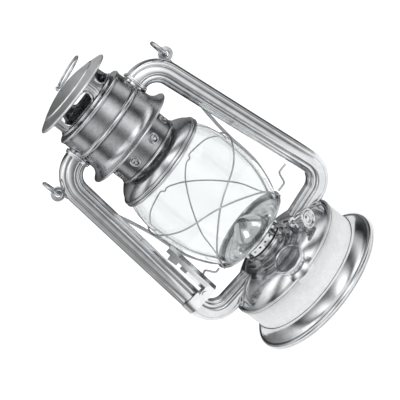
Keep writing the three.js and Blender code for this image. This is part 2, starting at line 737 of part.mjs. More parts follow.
function globe() {
  return turned(sheetProfile(smoothProfile(globeOutline, 9).reverse(), GLASS).reverse());
}

// One guard wire: from the plate's front on its own side, across the front of the glass, round the
// far side and back across the rear. A station is the turn from the front, positive to the far side,
// and the rise as a share of the wire's span.
const GUARD_STATIONS = [
  [-66, 0], [-60, 0.06], [-38, 0.24], [0, 0.51], [38, 0.61], [70, 0.69], [95, 0.73], [125, 0.755],
  [152, 0.75], [167, 0.71], [180, 0.59], [196, 0.42], [216, 0.21], [232, 0.06], [238, 0],
];

function guardWire(side) {
  const s = sideSign(side);
  const lowZ = seatZ + 2.2;
  const span = GLOBE_HEIGHT - 8;
  // The wires cross twice: the left one passes outside in front, and the right one behind.
  const outerCrossing = side === 'left' ? 0 : 180;
  const points = GUARD_STATIONS.map(([turn, rise]) => {
    const z = lowZ + rise * span;
    const lift = turn === outerCrossing ? 2 * GUARD_WIRE + GAP : 0;
    const foot = rise === 0 ? PLATE_RADIUS + 1.2 + GUARD_WIRE : 0;
    const r = Math.max(globeRadiusAt(z) + GUARD_STANDOFF + GUARD_WIRE + lift, foot);
    return v(s * r * Math.sin(rad(turn)), -r * Math.cos(rad(turn)), z);
  });
  return wire(new THREE.CatmullRomCurve3(points, false, 'centripetal'), GUARD_WIRE, 40, 6);
}

const wireZ = seatZ + 0.4;
const crankZ = wireZ + 8.2;

// Distance from the axis to the tube's inner skin at a height on its straight leg.
function tubeInnerX(z) {
  const { legTop } = tubePaths.right;
  return legTop[0] + (legTop[1] - z) * Math.tan(rad(TUBE_TILT)) - slantRadius;
}

function liftWireRight() {
  const start = PLATE_RADIUS + 0.2 + LIFT_WIRE + GAP;
  const end = tubeInnerX(crankZ + GLOBE_LIFT) - 2 * GAP - LIFT_WIRE;
  const middle = (start + end) / 2;
  const points = [
    v(start, 0, wireZ), v(middle - 4, 0, wireZ), v(middle - 1.5, 0, wireZ + 1.2),
      v(middle + 1.8, 0, crankZ - 1.2),
    v(middle + 4.2, 0, crankZ), v(end, 0, crankZ),
  ];
  return wire(new THREE.CatmullRomCurve3(points, false, 'centripetal'), LIFT_WIRE, 14, 6);
}

function liftWireLeft() {
  const start = -(PLATE_RADIUS + 0.2 + LIFT_WIRE + GAP);
  const points = [
    v(start, 0, wireZ), v(start - 2.6, 0, wireZ), v(start - 4.2, 0, wireZ + 1.4),
      v(start - 5.8, -0.6, crankZ - 1.4),
    v(start - 8.2, -2.4, crankZ), v(start - 11.5, -TUBE_RADIUS + 0.6, crankZ),
  ];
  return wire(new THREE.CatmullRomCurve3(points, false, 'centripetal'), LIFT_WIRE, 14, 6);
}

// ---- Bell, chimney, crown and cap -----------------------------------------------------------------
function globeBell() {
  const rim = GLOBE_TOP_RADIUS + BELL_RIM_STEP;
  const top = neckRadius + 0.5;
  const b = BELL_BEAD;
  const beads = [
    [rim - 0.5, bellRimZ - b], [rim + 0.6, bellRimZ - b + 0.1], [rim + b, bellRimZ],
    [rim + 0.5, bellRimZ + b],
    [rim + b - 0.3, bellRimZ + 2 * b], [rim - 0.2, bellRimZ + 3 * b],
  ];
  // How far in towards the neck and how far up to the bell's top the flare has come.
  const flare = [[0.09, 0.35], [0.3, 0.58], [0.66, 0.84], [1, 1]].map(([inward, up]) => [
    rim + (top - rim) * inward, bellRimZ + (bellTopZ - bellRimZ) * up,
  ]);
  const under = flare.slice(0, -1).map(([r, z]) => [r - 0.65, z - 0.6]).reverse();
  return turned([...beads, ...flare, [top - 0.9, bellTopZ], ...under, [rim - 0.9, bellRimZ + 2.4], beads[0]]);
}

function chimneyNeck() {
  const r = neckRadius;
  const low = bellTopZ + GAP;
  return turned([
    [r - SHEET, low], [r + 0.8, low], [r + 0.8, low + 0.8], [r, low + 1.4], [r, neckTopZ - 0.5],
    [r - 0.6, neckTopZ], [CHIMNEY_RADIUS + GAP, neckTopZ], [CHIMNEY_RADIUS + GAP, neckTopZ - SHEET],
    [r - SHEET, neckTopZ - SHEET], [r - SHEET, low],
  ]);
}

function chimneyTube() {
  return ring(CHIMNEY_RADIUS - SHEET, CHIMNEY_RADIUS, bellTopZ + 4, crownZ + 1);
}

function ventCrown() {
  const r = crownRadius;
  const hole = CHIMNEY_RADIUS + GAP;
  const body = turned([
    [hole, crownZ], [r + 1.6, crownZ], [r + 1.6, crownZ + 0.8], [r, crownZ + 1.8], [r, crownTopZ],
    [r - SHEET, crownTopZ], [r - SHEET, crownZ + 1.6], [hole, crownZ + 1], [hole, crownZ],
  ]);
  const slots = Array.from({ length: CROWN_SLOTS },
    (_, i) => ventSlot(CROWN_SLOT.phase + (360 / CROWN_SLOTS) * i));
  return cut(body, ...slots);
}

// An oblong hole with round ends through the crown's wall, at an angle from the front.
function ventSlot(angle) {
  const inner = crownRadius - 3;
  const outer = crownRadius + 3;
  const end = CROWN_SLOT.height / 2;
  const half = rad(CROWN_SLOT.width / 2) - end / crownRadius;
  const shape = new THREE.Shape();
  shape.absarc(0, 0, outer, -half, half, false);
  shape.absarc(0, 0, inner, half, -half, true);
  const middle = new THREE.ExtrudeGeometry(shape, { depth: 2 * end, bevelEnabled: false, curveSegments: 8 })
    .translate(0, 0, -end);
  const ends = [-half, half].map((turn) => {
    const out = v(Math.cos(turn), Math.sin(turn), 0);
    return rod(out.clone().multiplyScalar(inner), out.clone().multiplyScalar(outer), end - 0.01, 12);
  });
  return joined(middle, ...ends).rotateZ(rad(angle - 90)).translate(0, 0, crownZ + CROWN_SLOT.rise + end);
}

function capProfileZ(r) {
  return capTopZ - 4.1 * (r / crownRadius) ** 2;
}

function cap() {
  const r = capRadius;
  const dome = [0, 9, 17, crownRadius - 0.6].map((x) => [x, capProfileZ(x)]);
  const brim = [[crownRadius + 1, capRimZ + 3.4], [r - 4, capRimZ + 2.2], [r - 0.8, capRimZ + 0.9],
    [r, capRimZ]];
  const under = [
    [r - 1, capRimZ - 0.6], [r - 1.6, capRimZ], [r - 4.4, capRimZ + 1.2], [crownRadius + 0.6, capRimZ + 2.5],
    [17, capProfileZ(17) - 0.9], [0, capTopZ - 0.9],
  ];
  return turned([...dome, ...brim, ...under]);
}

const staple = v(STAPLE_OFFSET, 0, capProfileZ(STAPLE_OFFSET) + GAP);
const ringPivot = v(STAPLE_OFFSET, 0, staple.z + 1.6);

function ringStaple() {
  const shape = new THREE.Shape();
  shape.absarc(0, 1.6, 1.9, 0, Math.PI, false);
  shape.lineTo(-1.9, 0.1);
  shape.lineTo(1.9, 0.1);
  shape.holes.push(new THREE.Path(circleShape(1.15, 10).getPoints().map((p) => p.setY(p.y + 1.6)).reverse()));
  return plate(shape, 1).translate(0, 0, -0.5).rotateX(Math.PI / 2).translate(staple.x, staple.y, staple.z);
}

function liftRing() {
  return torus(RING_RADIUS, RING_WIRE, 6, 28).translate(RING_RADIUS, 0, 0).rotateY(-rad(RING_TILT))
    .translate(ringPivot.x, ringPivot.y, ringPivot.z);
}

// ---- Hood -------------------------------------------------------------------------------------
function hoodShell() {
  const r = HOOD_RADIUS;
  const lip = hoodLipZ;
  const top = hoodTopZ;
  const hole = CHIMNEY_RADIUS + 2 * GAP;
  const outside = [
    [hoodLipRadius, lip], [hoodLipRadius - 1.2, lip + 1.2], [r + 3, lip + 3.4], [r + 0.8, lip + 6],
    [r + 0.2, lip + 9], [r - 0.2, top - 18.4], [r + 0.9, top - 17.2], [r + 0.9, top - 16.4],
    [r - 0.3, top - 15.2],
    [r - 0.9, top - 3.2], [r - 1.4, top - 0.6], [r - 2.6, top], [hole, top],
  ];
  const inside = [
    [hole, top - SHEET], [r - 3, top - SHEET], [r - 2.2, top - 2], [r - 1.4, top - 15.2], [r - 0.9, lip + 9],
    [r - 0.4, lip + 6], [r + 1.8, lip + 3], [hoodLipRadius - 1.6, lip + 0.4], [hoodLipRadius - 1, lip - 0.5],
  ];
  const shell = turned([...outside, ...inside, outside[0]]);
  return cut(shell, tubeSolid('left', TUBE_RADIUS + GAP), tubeSolid('right', TUBE_RADIUS + GAP));
}

function hoodGuideRing() {
  const low = hoodLipZ + 7.2;
  const outer = HOOD_RADIUS - 0.9 - GAP;
  return ring(neckRadius + 1.8, outer, low, low + SHEET);
}

function tubeCollar(side) {
  const near = HOOD_RADIUS + 0.7 + GAP;
  const s = sideSign(side);
  const body = ring(TUBE_RADIUS + GAP, TUBE_RADIUS + 1.7, 0, 1.6, 24);
  return body.rotateY(s * (Math.PI / 2)).translate(s * near, 0, tubeTopZ);
}

class Helix extends THREE.Curve {
  constructor(radius, low, high, turns) {
    super();
    Object.assign(this, { radius, low, high, turns });
  }

  getPoint(t) {
    const angle = 2 * Math.PI * this.turns * t;
    return v(this.radius * Math.cos(angle), this.radius * Math.sin(angle),
      this.low + (this.high - this.low) * t);
  }
}

function chimneySpring() {
  const low = neckTopZ + GAP + SPRING_WIRE + 0.1;
  const high = hoodTopZ - SHEET - GAP - SPRING_WIRE - 0.1;
  const helix = new Helix(CHIMNEY_RADIUS + GAP + SPRING_WIRE + 1.3, low, high, SPRING_TURNS);
  return wire(helix, SPRING_WIRE, SPRING_TURNS * 11, 4);
}

// ---- Ears and bail --------------------------------------------------------------------------------
const bendCentre = [tubeBendX, tubeTopZ - TUBE_TOP_BEND];
const earReach = TUBE_TOP_BEND + TUBE_RADIUS + EAR_STANDOFF;
const earX = bendCentre[0] + earReach * Math.cos(rad(EAR_ANGLE));
const earZ = bendCentre[1] + earReach * Math.sin(rad(EAR_ANGLE));
const bailPivotZ = earZ + 0.6 + BAIL_EYE_RADIUS;

function bailEar(side) {
  const s = sideSign(side);
  const half = EAR_THICKNESS / 2;
  const lug = rod(v(s * earX, -half, earZ), v(s * earX, half, earZ), EAR_RADIUS, 28);
  const hole = rod(v(s * earX, -2, earZ + 0.6), v(s * earX, 2, earZ + 0.6), EAR_HOLE_RADIUS, 20);
  return cut(lug, hole, tubeSolid(side, TUBE_RADIUS + GAP));
}

// One side of the bail, from the ear down: how far it has come in from the ear and its share of the drop.
const BAIL_SIDE = [
  [0, 0], [0.7, 0.067], [4.2, 0.175], [8.5, 0.283], [12.3, 0.391], [15.4, 0.553], [16.3, 0.701],
  [18.8, 0.802], [26.8, 0.937], [40.9, 0.988],
];

function bail() {
  const drop = bailPivotZ - domeTopZ - BAIL_CLEARANCE;
  const leg = (x, share) => v(x, BAIL_EYE_RADIUS + BAIL_LEAN * drop * share, bailPivotZ - drop * share);
  const half = [...BAIL_SIDE.map(([inward, share]) => leg(earX - inward, share)), leg(0, 1)];
  const mirror = half.slice(0, -1).reverse().map((p) => v(-p.x, p.y, p.z));
  const body = wire(new THREE.CatmullRomCurve3([...half, ...mirror], false, 'centripetal'), BAIL_WIRE, 40, 6);
  const eyes = [-1, 1].map((s) => torus(BAIL_EYE_RADIUS, BAIL_WIRE, 6, 16).rotateY(Math.PI / 2)
    .translate(s * earX, 0, bailPivotZ));
  return joined(body, ...eyes);
}

// ---- Lift lever -----------------------------------------------------------------------------------
const leverPin = v(-(tubeInnerX(wireZ) - 1.6), 0, wireZ + 1.4);
const leverBackY = -(TUBE_RADIUS + 2 * GAP + BRACKET_SHEET + 0.1);
const leverX = leverPin.x + 6.2; // middle of the strip over the pin

function leverStrip() {
  const section = new THREE.Shape([
    [-3, -4.2], [0.4, -4.2], [3, -0.8], [3, 0], [2.2, 0], [0, -3.3], [-3, -3.3],
  ].map(([x, y]) => new THREE.Vector2(x, y)));
  return new THREE.ExtrudeGeometry(section, { depth: LEVER_HEIGHT, bevelEnabled: false })
    .translate(0, leverBackY, 0).rotateY(rad(TUBE_TILT - 1)).translate(leverX, 0, leverPin.z - 4);
}

function liftLever() {
  const foot = new THREE.BoxGeometry(LEVER_FOOT, 1, 7)
    .translate(leverPin.x + LEVER_FOOT / 2 - 3, leverBackY - 3.8, leverPin.z - 0.6);
  const heel = rod(v(leverPin.x, leverBackY - 4.2, leverPin.z), v(leverPin.x, leverBackY, leverPin.z),
    3.2, 20);
  const tab = new THREE.BoxGeometry(4.4, 1, 8)
    .translate(leverX - 0.2 + (LEVER_HEIGHT - 8) * Math.tan(rad(TUBE_TILT - 1)) - 3.6, leverBackY - 3.8,
      leverPin.z + LEVER_HEIGHT - 12);
  const hole = rod(v(leverPin.x, leverBackY - 6, leverPin.z), v(leverPin.x, leverBackY + 1, leverPin.z),
    LEVER_PIN_RADIUS + 0.1, 16);
  return cut(joined(leverStrip(), foot, heel, tab), hole);
}

// A saddle round the tube's front, with a flat tab beside it that carries the pin.
function leverBracket() {
  const near = TUBE_RADIUS + GAP;
  const far = near + BRACKET_SHEET;
  const tubeX = -(tubeInnerX(leverPin.z) + slantRadius);
  const tabEnd = leverPin.x - tubeX + 3.5;
  const [from, to] = [rad(-150), rad(-90)];
  const shape = new THREE.Shape();
  shape.absarc(0, 0, far, from, to, false);
  shape.lineTo(tabEnd, -far);
  shape.lineTo(tabEnd, -near);
  shape.absarc(0, 0, near, to, from, true);
  const saddle = plate(shape, BRACKET_HEIGHT).translate(0, 0, -BRACKET_HEIGHT / 2).rotateY(rad(TUBE_TILT))
    .translate(tubeX, 0, leverPin.z);
  const hole = rod(v(leverPin.x, -far - 1, leverPin.z), v(leverPin.x, -near + 1, leverPin.z),
    LEVER_PIN_RADIUS + GAP, 16);
  return cut(saddle, hole);
}

function leverPinShape() {
  const back = -(TUBE_RADIUS + 2 * GAP);
  const front = leverBackY - 4.2 - GAP;
  return joined(
    rod(v(leverPin.x, back, leverPin.z), v(leverPin.x, front - 0.2, leverPin.z), LEVER_PIN_RADIUS, 16),
    rod(v(leverPin.x, front, leverPin.z), v(leverPin.x, front - 1, leverPin.z), LEVER_PIN_RADIUS + 0.9, 16),
  );
}

// A leaf held behind the bracket's tab, whose free end rides on the lever's back.
function leverLeafSpring() {
  const x = leverPin.x + LEVER_PIN_RADIUS + 1.4;
  const heldY = -(TUBE_RADIUS + GAP) + GAP + LEAF_SHEET / 2;
  const freeY = leverBackY + GAP + LEAF_SHEET / 2;
  const bow = new THREE.CatmullRomCurve3([
    v(x, heldY, leverPin.z - 3), v(x, heldY, leverPin.z + BRACKET_HEIGHT / 2 + 1),
    v(x + 0.6, (heldY + freeY) / 2, leverPin.z + 12), v(x + 1.6, freeY, leverPin.z + 20),
    v(x + 2.2, (heldY + freeY) / 2, leverPin.z + 25),
  ]);
  const [w, t] = [LEAF_WIDTH / 2, LEAF_SHEET / 2];
  const section = new THREE.Shape([[-w, -t], [w, -t], [w, t],
    [-w, t]].map(([a, b]) => new THREE.Vector2(a, b)));
  return along(bow, section, 10);
}

// ---- The assembly -----------------------------------------------------------------------------------
add('foot_ring', footRing(), brightSteel);
add('fount_band', fountBand(), satinSteel);
add('tank_bottom', tankBottom(), satinSteel);
add('tank_top', tankTop(), satinSteel);
add('fount_dome', fountDome(), brightSteel);
add('filler_boss', fillerBoss(), brightSteel, filler);
add('filler_neck', fillerNeck(), satinSteel, filler);
add('filler_cap', fillerCap(), satinSteel, filler);
add('cap_gasket', capGasket(), rubberFinish, filler);
add('burner_collar', burnerCollar(), brightSteel);
add('burner_body', burnerBody(), satinSteel);
add('burner_gasket', burnerGasket(), rubberFinish);
add('burner_gallery', burnerGallery(), brightSteel, burner);
add('burner_cone', burnerCone(), brightSteel, burner);
add('wick_tube', wickTube(), satinSteel, burner);
add('wick', wick(), cottonFinish, burner);
add('wick_shaft', wickShaft(), satinSteel, burner);
add('shaft_boss', shaftBoss(), brightSteel, burner);
add('wick_knob', wickKnob(), brightSteel, burner);
add('globe_plate', globePlate(), brightSteel);
add('globe', globe(), glassFinish);
add('chimney_neck', chimneyNeck(), darkSteel);
add('globe_bell', globeBell(), darkSteel);
add('chimney_tube', chimneyTube(), darkSteel);
add('chimney_spring', chimneySpring(), satinSteel);
add('vent_crown', ventCrown(), darkSteel);
add('cap', cap(), brightSteel);
add('ring_staple', ringStaple(), darkSteel);
add('lift_ring', liftRing(), brightSteel);
add('hood_shell', hoodShell(), darkSteel);
add('hood_guide_ring', hoodGuideRing(), darkSteel);
add('bail', bail(), brightSteel);
add('lift_wire_left', liftWireLeft(), brightSteel);
add('lift_wire_right', liftWireRight(), brightSteel);
add('lift_lever', liftLever(), brightSteel);
add('lever_bracket', leverBracket(), satinSteel);
add('lever_pin', leverPinShape(), satinSteel);
add('lever_leaf_spring', leverLeafSpring(), satinSteel);
for (const side of ['left', 'right']) {
  add(`side_tube_${side}`, sideTube(side), brightSteel);
  add(`tube_flange_${side}`, tubeFlange(side), brightSteel);
  add(`tube_collar_${side}`, tubeCollar(side), brightSteel);
  add(`bail_ear_${side}`, bailEar(side), darkSteel);
  add(`guard_wire_${side}`, guardWire(side), brightSteel);
}

export default lantern;
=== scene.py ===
import json
from math import asin, atan2, cos, degrees, exp, hypot, pi, radians, sin, tan

import bmesh
import bpy
from mathutils import Matrix, Vector


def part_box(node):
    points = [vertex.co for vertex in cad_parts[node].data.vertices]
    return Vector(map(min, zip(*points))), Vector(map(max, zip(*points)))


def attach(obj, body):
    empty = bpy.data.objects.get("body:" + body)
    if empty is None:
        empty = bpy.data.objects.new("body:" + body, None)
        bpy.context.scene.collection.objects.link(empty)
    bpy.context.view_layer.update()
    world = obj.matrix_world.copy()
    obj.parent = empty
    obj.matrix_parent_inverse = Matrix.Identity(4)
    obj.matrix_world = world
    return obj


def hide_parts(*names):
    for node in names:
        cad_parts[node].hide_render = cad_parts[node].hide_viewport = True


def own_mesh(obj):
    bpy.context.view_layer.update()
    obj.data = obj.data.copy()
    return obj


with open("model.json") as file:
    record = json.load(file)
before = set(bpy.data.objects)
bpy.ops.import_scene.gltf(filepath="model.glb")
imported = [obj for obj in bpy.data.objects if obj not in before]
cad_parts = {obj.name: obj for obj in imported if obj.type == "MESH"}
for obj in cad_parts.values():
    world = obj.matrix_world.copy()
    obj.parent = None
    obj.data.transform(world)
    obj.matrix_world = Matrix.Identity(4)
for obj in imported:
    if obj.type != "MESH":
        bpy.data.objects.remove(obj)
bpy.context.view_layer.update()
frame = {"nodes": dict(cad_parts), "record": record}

bl_info = {
    "name": "Barn Lantern",
    "version": (1, 0, 0),
    "blender": (4, 5, 0),
    "location": "View3D > Sidebar > Lantern",
    "description": "Builds the visible pieces of a tubular barn lantern round its frame",
    "category": "Object",
}

MM = 0.001
FRONT = -pi / 2  # the side that the filler cap faces


# ---- Places read from the frame ----


def box_mm(name):
    """A node's lowest and highest corners in millimetres."""
    low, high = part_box(name)
    return Vector(low) / MM, Vector(high) / MM


def joint_row(name):
    return next(j for j in frame["record"]["behaviour"]["joints"] if j["name"] == name)


def joint(name):
    """A joint's point in millimetres and its axis."""
    found = joint_row(name)
    return Vector(found.get("pos_m", (0, 0, 0))) / MM, Vector(found["axis"]).normalized()


def standing_on(axis, point):
    """The turn and shift that put a piece made about +Z on to an axis through a point."""
    turn = axis.to_track_quat("Z", "Y").to_matrix().to_4x4()
    return Matrix.Translation(point) @ turn


# ---- Sizes and colours that a user would change ----


def linear(code):
    """An sRGB hex colour as linear red, green, blue."""
    parts = [int(code[i:i + 2], 16) / 255 for i in (1, 3, 5)]
    return [c / 12.92 if c <= 0.04045 else ((c + 0.055) / 1.055) ** 2.4 for c in parts]


def colour_prop(name, code, words):
    return bpy.props.FloatVectorProperty(
        name=name, description=words, subtype="COLOR", size=3, min=0, max=1, default=linear(code))


def size_prop(name, default, words, least=0):
    return bpy.props.FloatProperty(
        name=name, description=f"{words}, in millimetres", default=default, min=least)


class LanternSizes(bpy.types.PropertyGroup):
    """Sizes of the fine detail."""

    around: bpy.props.IntProperty(
        name="Steps around", description="Steps round each turned piece", default=120, min=24)
    sheet: size_prop("Sheet", 0.7, "Thickness of the sheet steel", 0.2)
    flute_depth: size_prop("Flute depth", 1.25, "Depth of the grooves along the air tubes")
    dimple_depth: size_prop("Dimple depth", 1.1, "How far the neck's dimples are pressed in")


class LanternColours(bpy.types.PropertyGroup):
    """Colours of the finishes."""

    bright: colour_prop("Bright zinc", "#CDCED0", "Lightest tone of the bright zinc plate")
    bright_shade: colour_prop("Bright zinc shade", "#B8BABC", "Darker patches of the bright zinc plate")
    satin: colour_prop("Satin zinc", "#CBCCCC", "Lightest tone of the satin zinc plate")
    satin_shade: colour_prop("Satin zinc shade", "#BCBEBF", "Darker patches of the satin zinc plate")
    hood: colour_prop("Dulled zinc", "#AEB0B2", "Lightest tone of the plate dulled by heat")
    hood_shade: colour_prop("Dulled zinc shade", "#9A9C9F", "Darker patches of the plate dulled by heat")
    wire: colour_prop("Zinc wire", "#AEB0B3", "Lightest tone of the zinc-plated wire")
    cotton: colour_prop("Cotton", "#E4DCCB", "Colour of the clean wick")
    rubber: colour_prop("Rubber", "#232220", "Colour of the gaskets")
    floor: colour_prop("Floor", "#FFFFFF", "Colour of the floor")


def sizes():
    return bpy.context.scene.lantern_sizes


def colours():
    return bpy.context.scene.lantern_colours


# ---- Finishes ----


BRIGHT = "bright_zinc_plate"
SATIN = "satin_zinc_plate"
DULLED = "heat_dulled_zinc_plate"
WIRE = "drawn_zinc_wire"
GLASS = "blown_soda_glass"
COTTON = "woven_cotton_wick"
RUBBER = "moulded_nitrile_rubber"


def add_node(tree, kind, links=None, **settings):
    """Adds a node, sets its properties, and gives each input a value or a link."""
    made = tree.nodes.new(kind)
    for key, value in settings.items():
        setattr(made, key, value)
    for key, value in (links or {}).items():
        if isinstance(value, bpy.types.NodeSocket):
            tree.links.new(value, made.inputs[key])
        else:
            made.inputs[key].default_value = value
    return made


def new_material(name):
    """An empty material with a surface shader, and its node tree."""
    made = bpy.data.materials.new(name)
    made.use_nodes = True
    tree = made.node_tree
    shader = next(n for n in tree.nodes if n.type == "BSDF_PRINCIPLED")
    return made, tree, shader


def plated_steel(name, pale, shade, rough, patch_mm, grain_mm, wear_and_painted_light):
    """Zinc-plated sheet steel: cloudy patches of two greys, a fine crystal grain that scatters the
    gloss, edges lightened as rubbed wear with a painted highlight, and painted shade in the folds."""
    made, tree, shader = new_material(name)
    place = add_node(tree, "ShaderNodeTexCoord").outputs["Object"]
    crystal_mm = patch_mm * 0.35
    patches = add_node(tree, "ShaderNodeTexNoise", {
        "Vector": place, "Scale": 1000 / patch_mm, "Detail": 5.0, "Roughness": 0.62}).outputs["Fac"]
    spangle = add_node(tree, "ShaderNodeTexVoronoi", {
        "Vector": place, "Scale": 1000 / crystal_mm}).outputs["Color"]
    cloudy = add_node(tree, "ShaderNodeMix", {0: 0.22, 2: patches, 3: spangle}).outputs[0]
    spread = add_node(tree, "ShaderNodeMapRange", {
        "Value": cloudy, "From Min": 0.3, "From Max": 0.7}).outputs[0]
    mottled = add_node(tree, "ShaderNodeMix", {
        0: spread, 6: (*shade, 1), 7: (*pale, 1)}, data_type="RGBA").outputs[2]
    # Painted light from pointiness: convex edges are lightened as rubbed wear with a painted highlight, and
    # folds are darkened with painted shade.
    edges = add_node(tree, "ShaderNodeMapRange", {
        "Value": add_node(tree, "ShaderNodeNewGeometry").outputs["Pointiness"],
        "From Min": 0.44, "From Max": 0.56, "To Min": -wear_and_painted_light, "To Max": wear_and_painted_light}).outputs[0]
    lit = add_node(tree, "ShaderNodeMath", {0: edges, 1: 1.0}, operation="ADD").outputs[0]
    worn_with_painted_light = add_node(tree, "ShaderNodeVectorMath", {0: mottled, "Scale": lit}, operation="SCALE").outputs[0]
    # The real crystal grain is too fine to show, so it is drawn a few times as coarse.
    grain = add_node(tree, "ShaderNodeTexNoise", {
        "Vector": place, "Scale": 1000 / grain_mm, "Detail": 3.0}).outputs["Fac"]
    both = add_node(tree, "ShaderNodeMix", {0: 0.4, 2: patches, 3: grain}).outputs[0]
    gloss = add_node(tree, "ShaderNodeMapRange", {
        "Value": both, "From Min": 0.3, "From Max": 0.7, "To Min": rough - 0.05,
        "To Max": rough + 0.06}).outputs[0]
    relief = add_node(tree, "ShaderNodeBump", {
        "Height": both, "Strength": 0.1, "Distance": 0.15 * MM}).outputs[0]
    tree.links.new(worn_with_painted_light, shader.inputs["Base Color"])
    tree.links.new(gloss, shader.inputs["Roughness"])
    tree.links.new(relief, shader.inputs["Normal"])
    shader.inputs["Metallic"].default_value = 1.0
    return made


def blown_glass():
    """Clear soda-lime glass, blown in a mould: a faint waviness and almost no tint."""
    made, tree, shader = new_material(GLASS)
    place = add_node(tree, "ShaderNodeTexCoord").outputs["Object"]
    waves = add_node(tree, "ShaderNodeTexNoise", {"Vector": place, "Scale": 1000 / 26, "Detail": 1.0})
    relief = add_node(tree, "ShaderNodeBump", {
        "Height": waves.outputs["Fac"], "Strength": 0.06, "Distance": 0.5 * MM}).outputs[0]
    tree.links.new(relief, shader.inputs["Normal"])
    shader.inputs["Base Color"].default_value = (*linear("#ECEEEE"), 1)
    shader.inputs["Roughness"].default_value = 0.015
    shader.inputs["IOR"].default_value = 1.5
    shader.inputs["Transmission Weight"].default_value = 1.0
    return made


def woven_cotton(top_z):
    """Flat woven cotton wick: a plain weave with a thread every 0.8 mm, charred at its burnt end."""
    made, tree, shader = new_material(COTTON)
    place = add_node(tree, "ShaderNodeTexCoord").outputs["Object"]
    thread_mm, whole_turn = 0.8, 6.28
    threads = [add_node(tree, "ShaderNodeTexWave", {"Vector": place, "Scale": 1000 / thread_mm / whole_turn},
                        bands_direction=way).outputs["Fac"] for way in ("Z", "DIAGONAL")]
    weave = add_node(tree, "ShaderNodeMath", {0: threads[0], 1: threads[1]}, operation="MULTIPLY").outputs[0]
    height = add_node(tree, "ShaderNodeSeparateXYZ", {0: place}).outputs["Z"]
    clean_under, black_over = top_z - 2.2, top_z - 0.6
    char = add_node(tree, "ShaderNodeMapRange", {
        "Value": height, "From Min": clean_under * MM, "From Max": black_over * MM}).outputs[0]
    clean = add_node(tree, "ShaderNodeMix", {
        0: weave, 6: (*[c * 0.7 for c in colours().cotton], 1), 7: (*colours().cotton, 1)},
        data_type="RGBA").outputs[2]
    burnt = add_node(tree, "ShaderNodeMix", {
        0: char, 6: clean, 7: (*linear("#2A2622"), 1)}, data_type="RGBA").outputs[2]
    relief = add_node(tree, "ShaderNodeBump", {
        "Height": weave, "Strength": 0.6, "Distance": 0.3 * MM}).outputs[0]
    tree.links.new(burnt, shader.inputs["Base Color"])
    tree.links.new(relief, shader.inputs["Normal"])
    shader.inputs["Roughness"].default_value = 0.95
    return made


def moulded_rubber():
    """Nitrile rubber, moulded: near black with a dusty bloom."""
    made, tree, shader = new_material(RUBBER)
    place = add_node(tree, "ShaderNodeTexCoord").outputs["Object"]
    bloom = add_node(tree, "ShaderNodeTexNoise", {
        "Vector": place, "Scale": 1000 / 3, "Detail": 4.0}).outputs["Fac"]
    tone = add_node(tree, "ShaderNodeMix", {
        0: bloom, 6: (*colours().rubber, 1), 7: (*[2.2 * c for c in colours().rubber], 1)},
        data_type="RGBA").outputs[2]
    tree.links.new(tone, shader.inputs["Base Color"])
    shader.inputs["Roughness"].default_value = 0.8
    return made


def finish(name):
    """The named finish, made the first time it is asked for."""
    if name in bpy.data.materials:
        return bpy.data.materials[name]
    c = colours()
    if name == GLASS:
        return blown_glass()
    if name == COTTON:
        return woven_cotton(box_mm("wick")[1].z)
    if name == RUBBER:
        return moulded_rubber()
    # pale, shade, roughness, patch size, grain size, wear and painted light on edges and folds
    plates = {
        BRIGHT: (c.bright, c.bright_shade, 0.15, 14, 0.9, 0.2),
        SATIN: (c.satin, c.satin_shade, 0.34, 5, 0.8, 0.2),
        DULLED: (c.hood, c.hood_shade, 0.19, 3.5, 0.7, 0.6),
        WIRE: (c.wire, c.hood_shade, 0.3, 4, 0.6, 0.1),
    }
    return plated_steel(name, *plates[name])


# ---- Outlines and meshes ----


def arc(cx, cy, radius, start, end, steps=8):
    """Points of an arc, with its angles in degrees."""
    angles = [radians(start + (end - start) * i / steps) for i in range(steps + 1)]
    return [(cx + radius * cos(a), cy + radius * sin(a)) for a in angles]


def circle(radius, steps):
    angles = [2 * pi * i / steps for i in range(steps)]
    return [(radius * cos(a), radius * sin(a)) for a in angles]


def flowing(points, steps=5):
    """A smooth line through the points, in any number of dimensions."""
    ps = [Vector(p) for p in points]
    ends = [2 * ps[0] - ps[1], *ps, 2 * ps[-1] - ps[-2]]
    line = []
    for a, b, c, d in zip(ends, ends[1:], ends[2:], ends[3:]):
        for i in range(steps):
            t = i / steps
            line.append(0.5 * (2 * b + (c - a) * t + (2 * a - 5 * b + 4 * c - d) * t ** 2
                               + (3 * b - a - 3 * c + d) * t ** 3))
    return [*line, ps[-1]]


def sheet(outside, thickness):
    """The closed outline of a sheet, with its inner face to the left of the outer one."""
    inside = []
    for i, (r, z) in enumerate(outside):
        r0, z0 = outside[max(i - 1, 0)]
        r1, z1 = outside[min(i + 1, len(outside) - 1)]
        length = hypot(r1 - r0, z1 - z0) or 1
        inside.append((max(r - (z1 - z0) / length * thickness, 0), z + (r1 - r0) / length * thickness))
    return [*outside, *reversed(inside)]


def placed(name, data):
    """An object with this data, put in the scene."""
    made = bpy.data.objects.new(name, data)
    bpy.context.scene.collection.objects.link(made)
    return made


def mesh_piece(name, verts, faces, shift=None, crease=38):
    """A mesh from points in millimetres, welded, facing out and smooth but for its creases."""
    mesh = bpy.data.meshes.new(name)
    mesh.from_pydata([Vector(v) * MM for v in verts], [], faces)
    piece = placed(name, mesh)
    bm = bmesh.new()
    bm.from_mesh(mesh)
    bmesh.ops.remove_doubles(bm, verts=bm.verts, dist=1e-6)
    bmesh.ops.dissolve_degenerate(bm, edges=bm.edges, dist=1e-7)
    bmesh.ops.recalc_face_normals(bm, faces=bm.faces)
    if shift:
        scaled = shift.copy()
        scaled.translation *= MM
        bmesh.ops.transform(bm, matrix=scaled, verts=bm.verts)
    bm.to_mesh(mesh)
    bm.free()
    smooth(mesh, crease)
    return piece


def smooth(mesh, crease=38):
    mesh.shade_smooth()
    mesh.set_sharp_from_angle(angle=radians(crease))


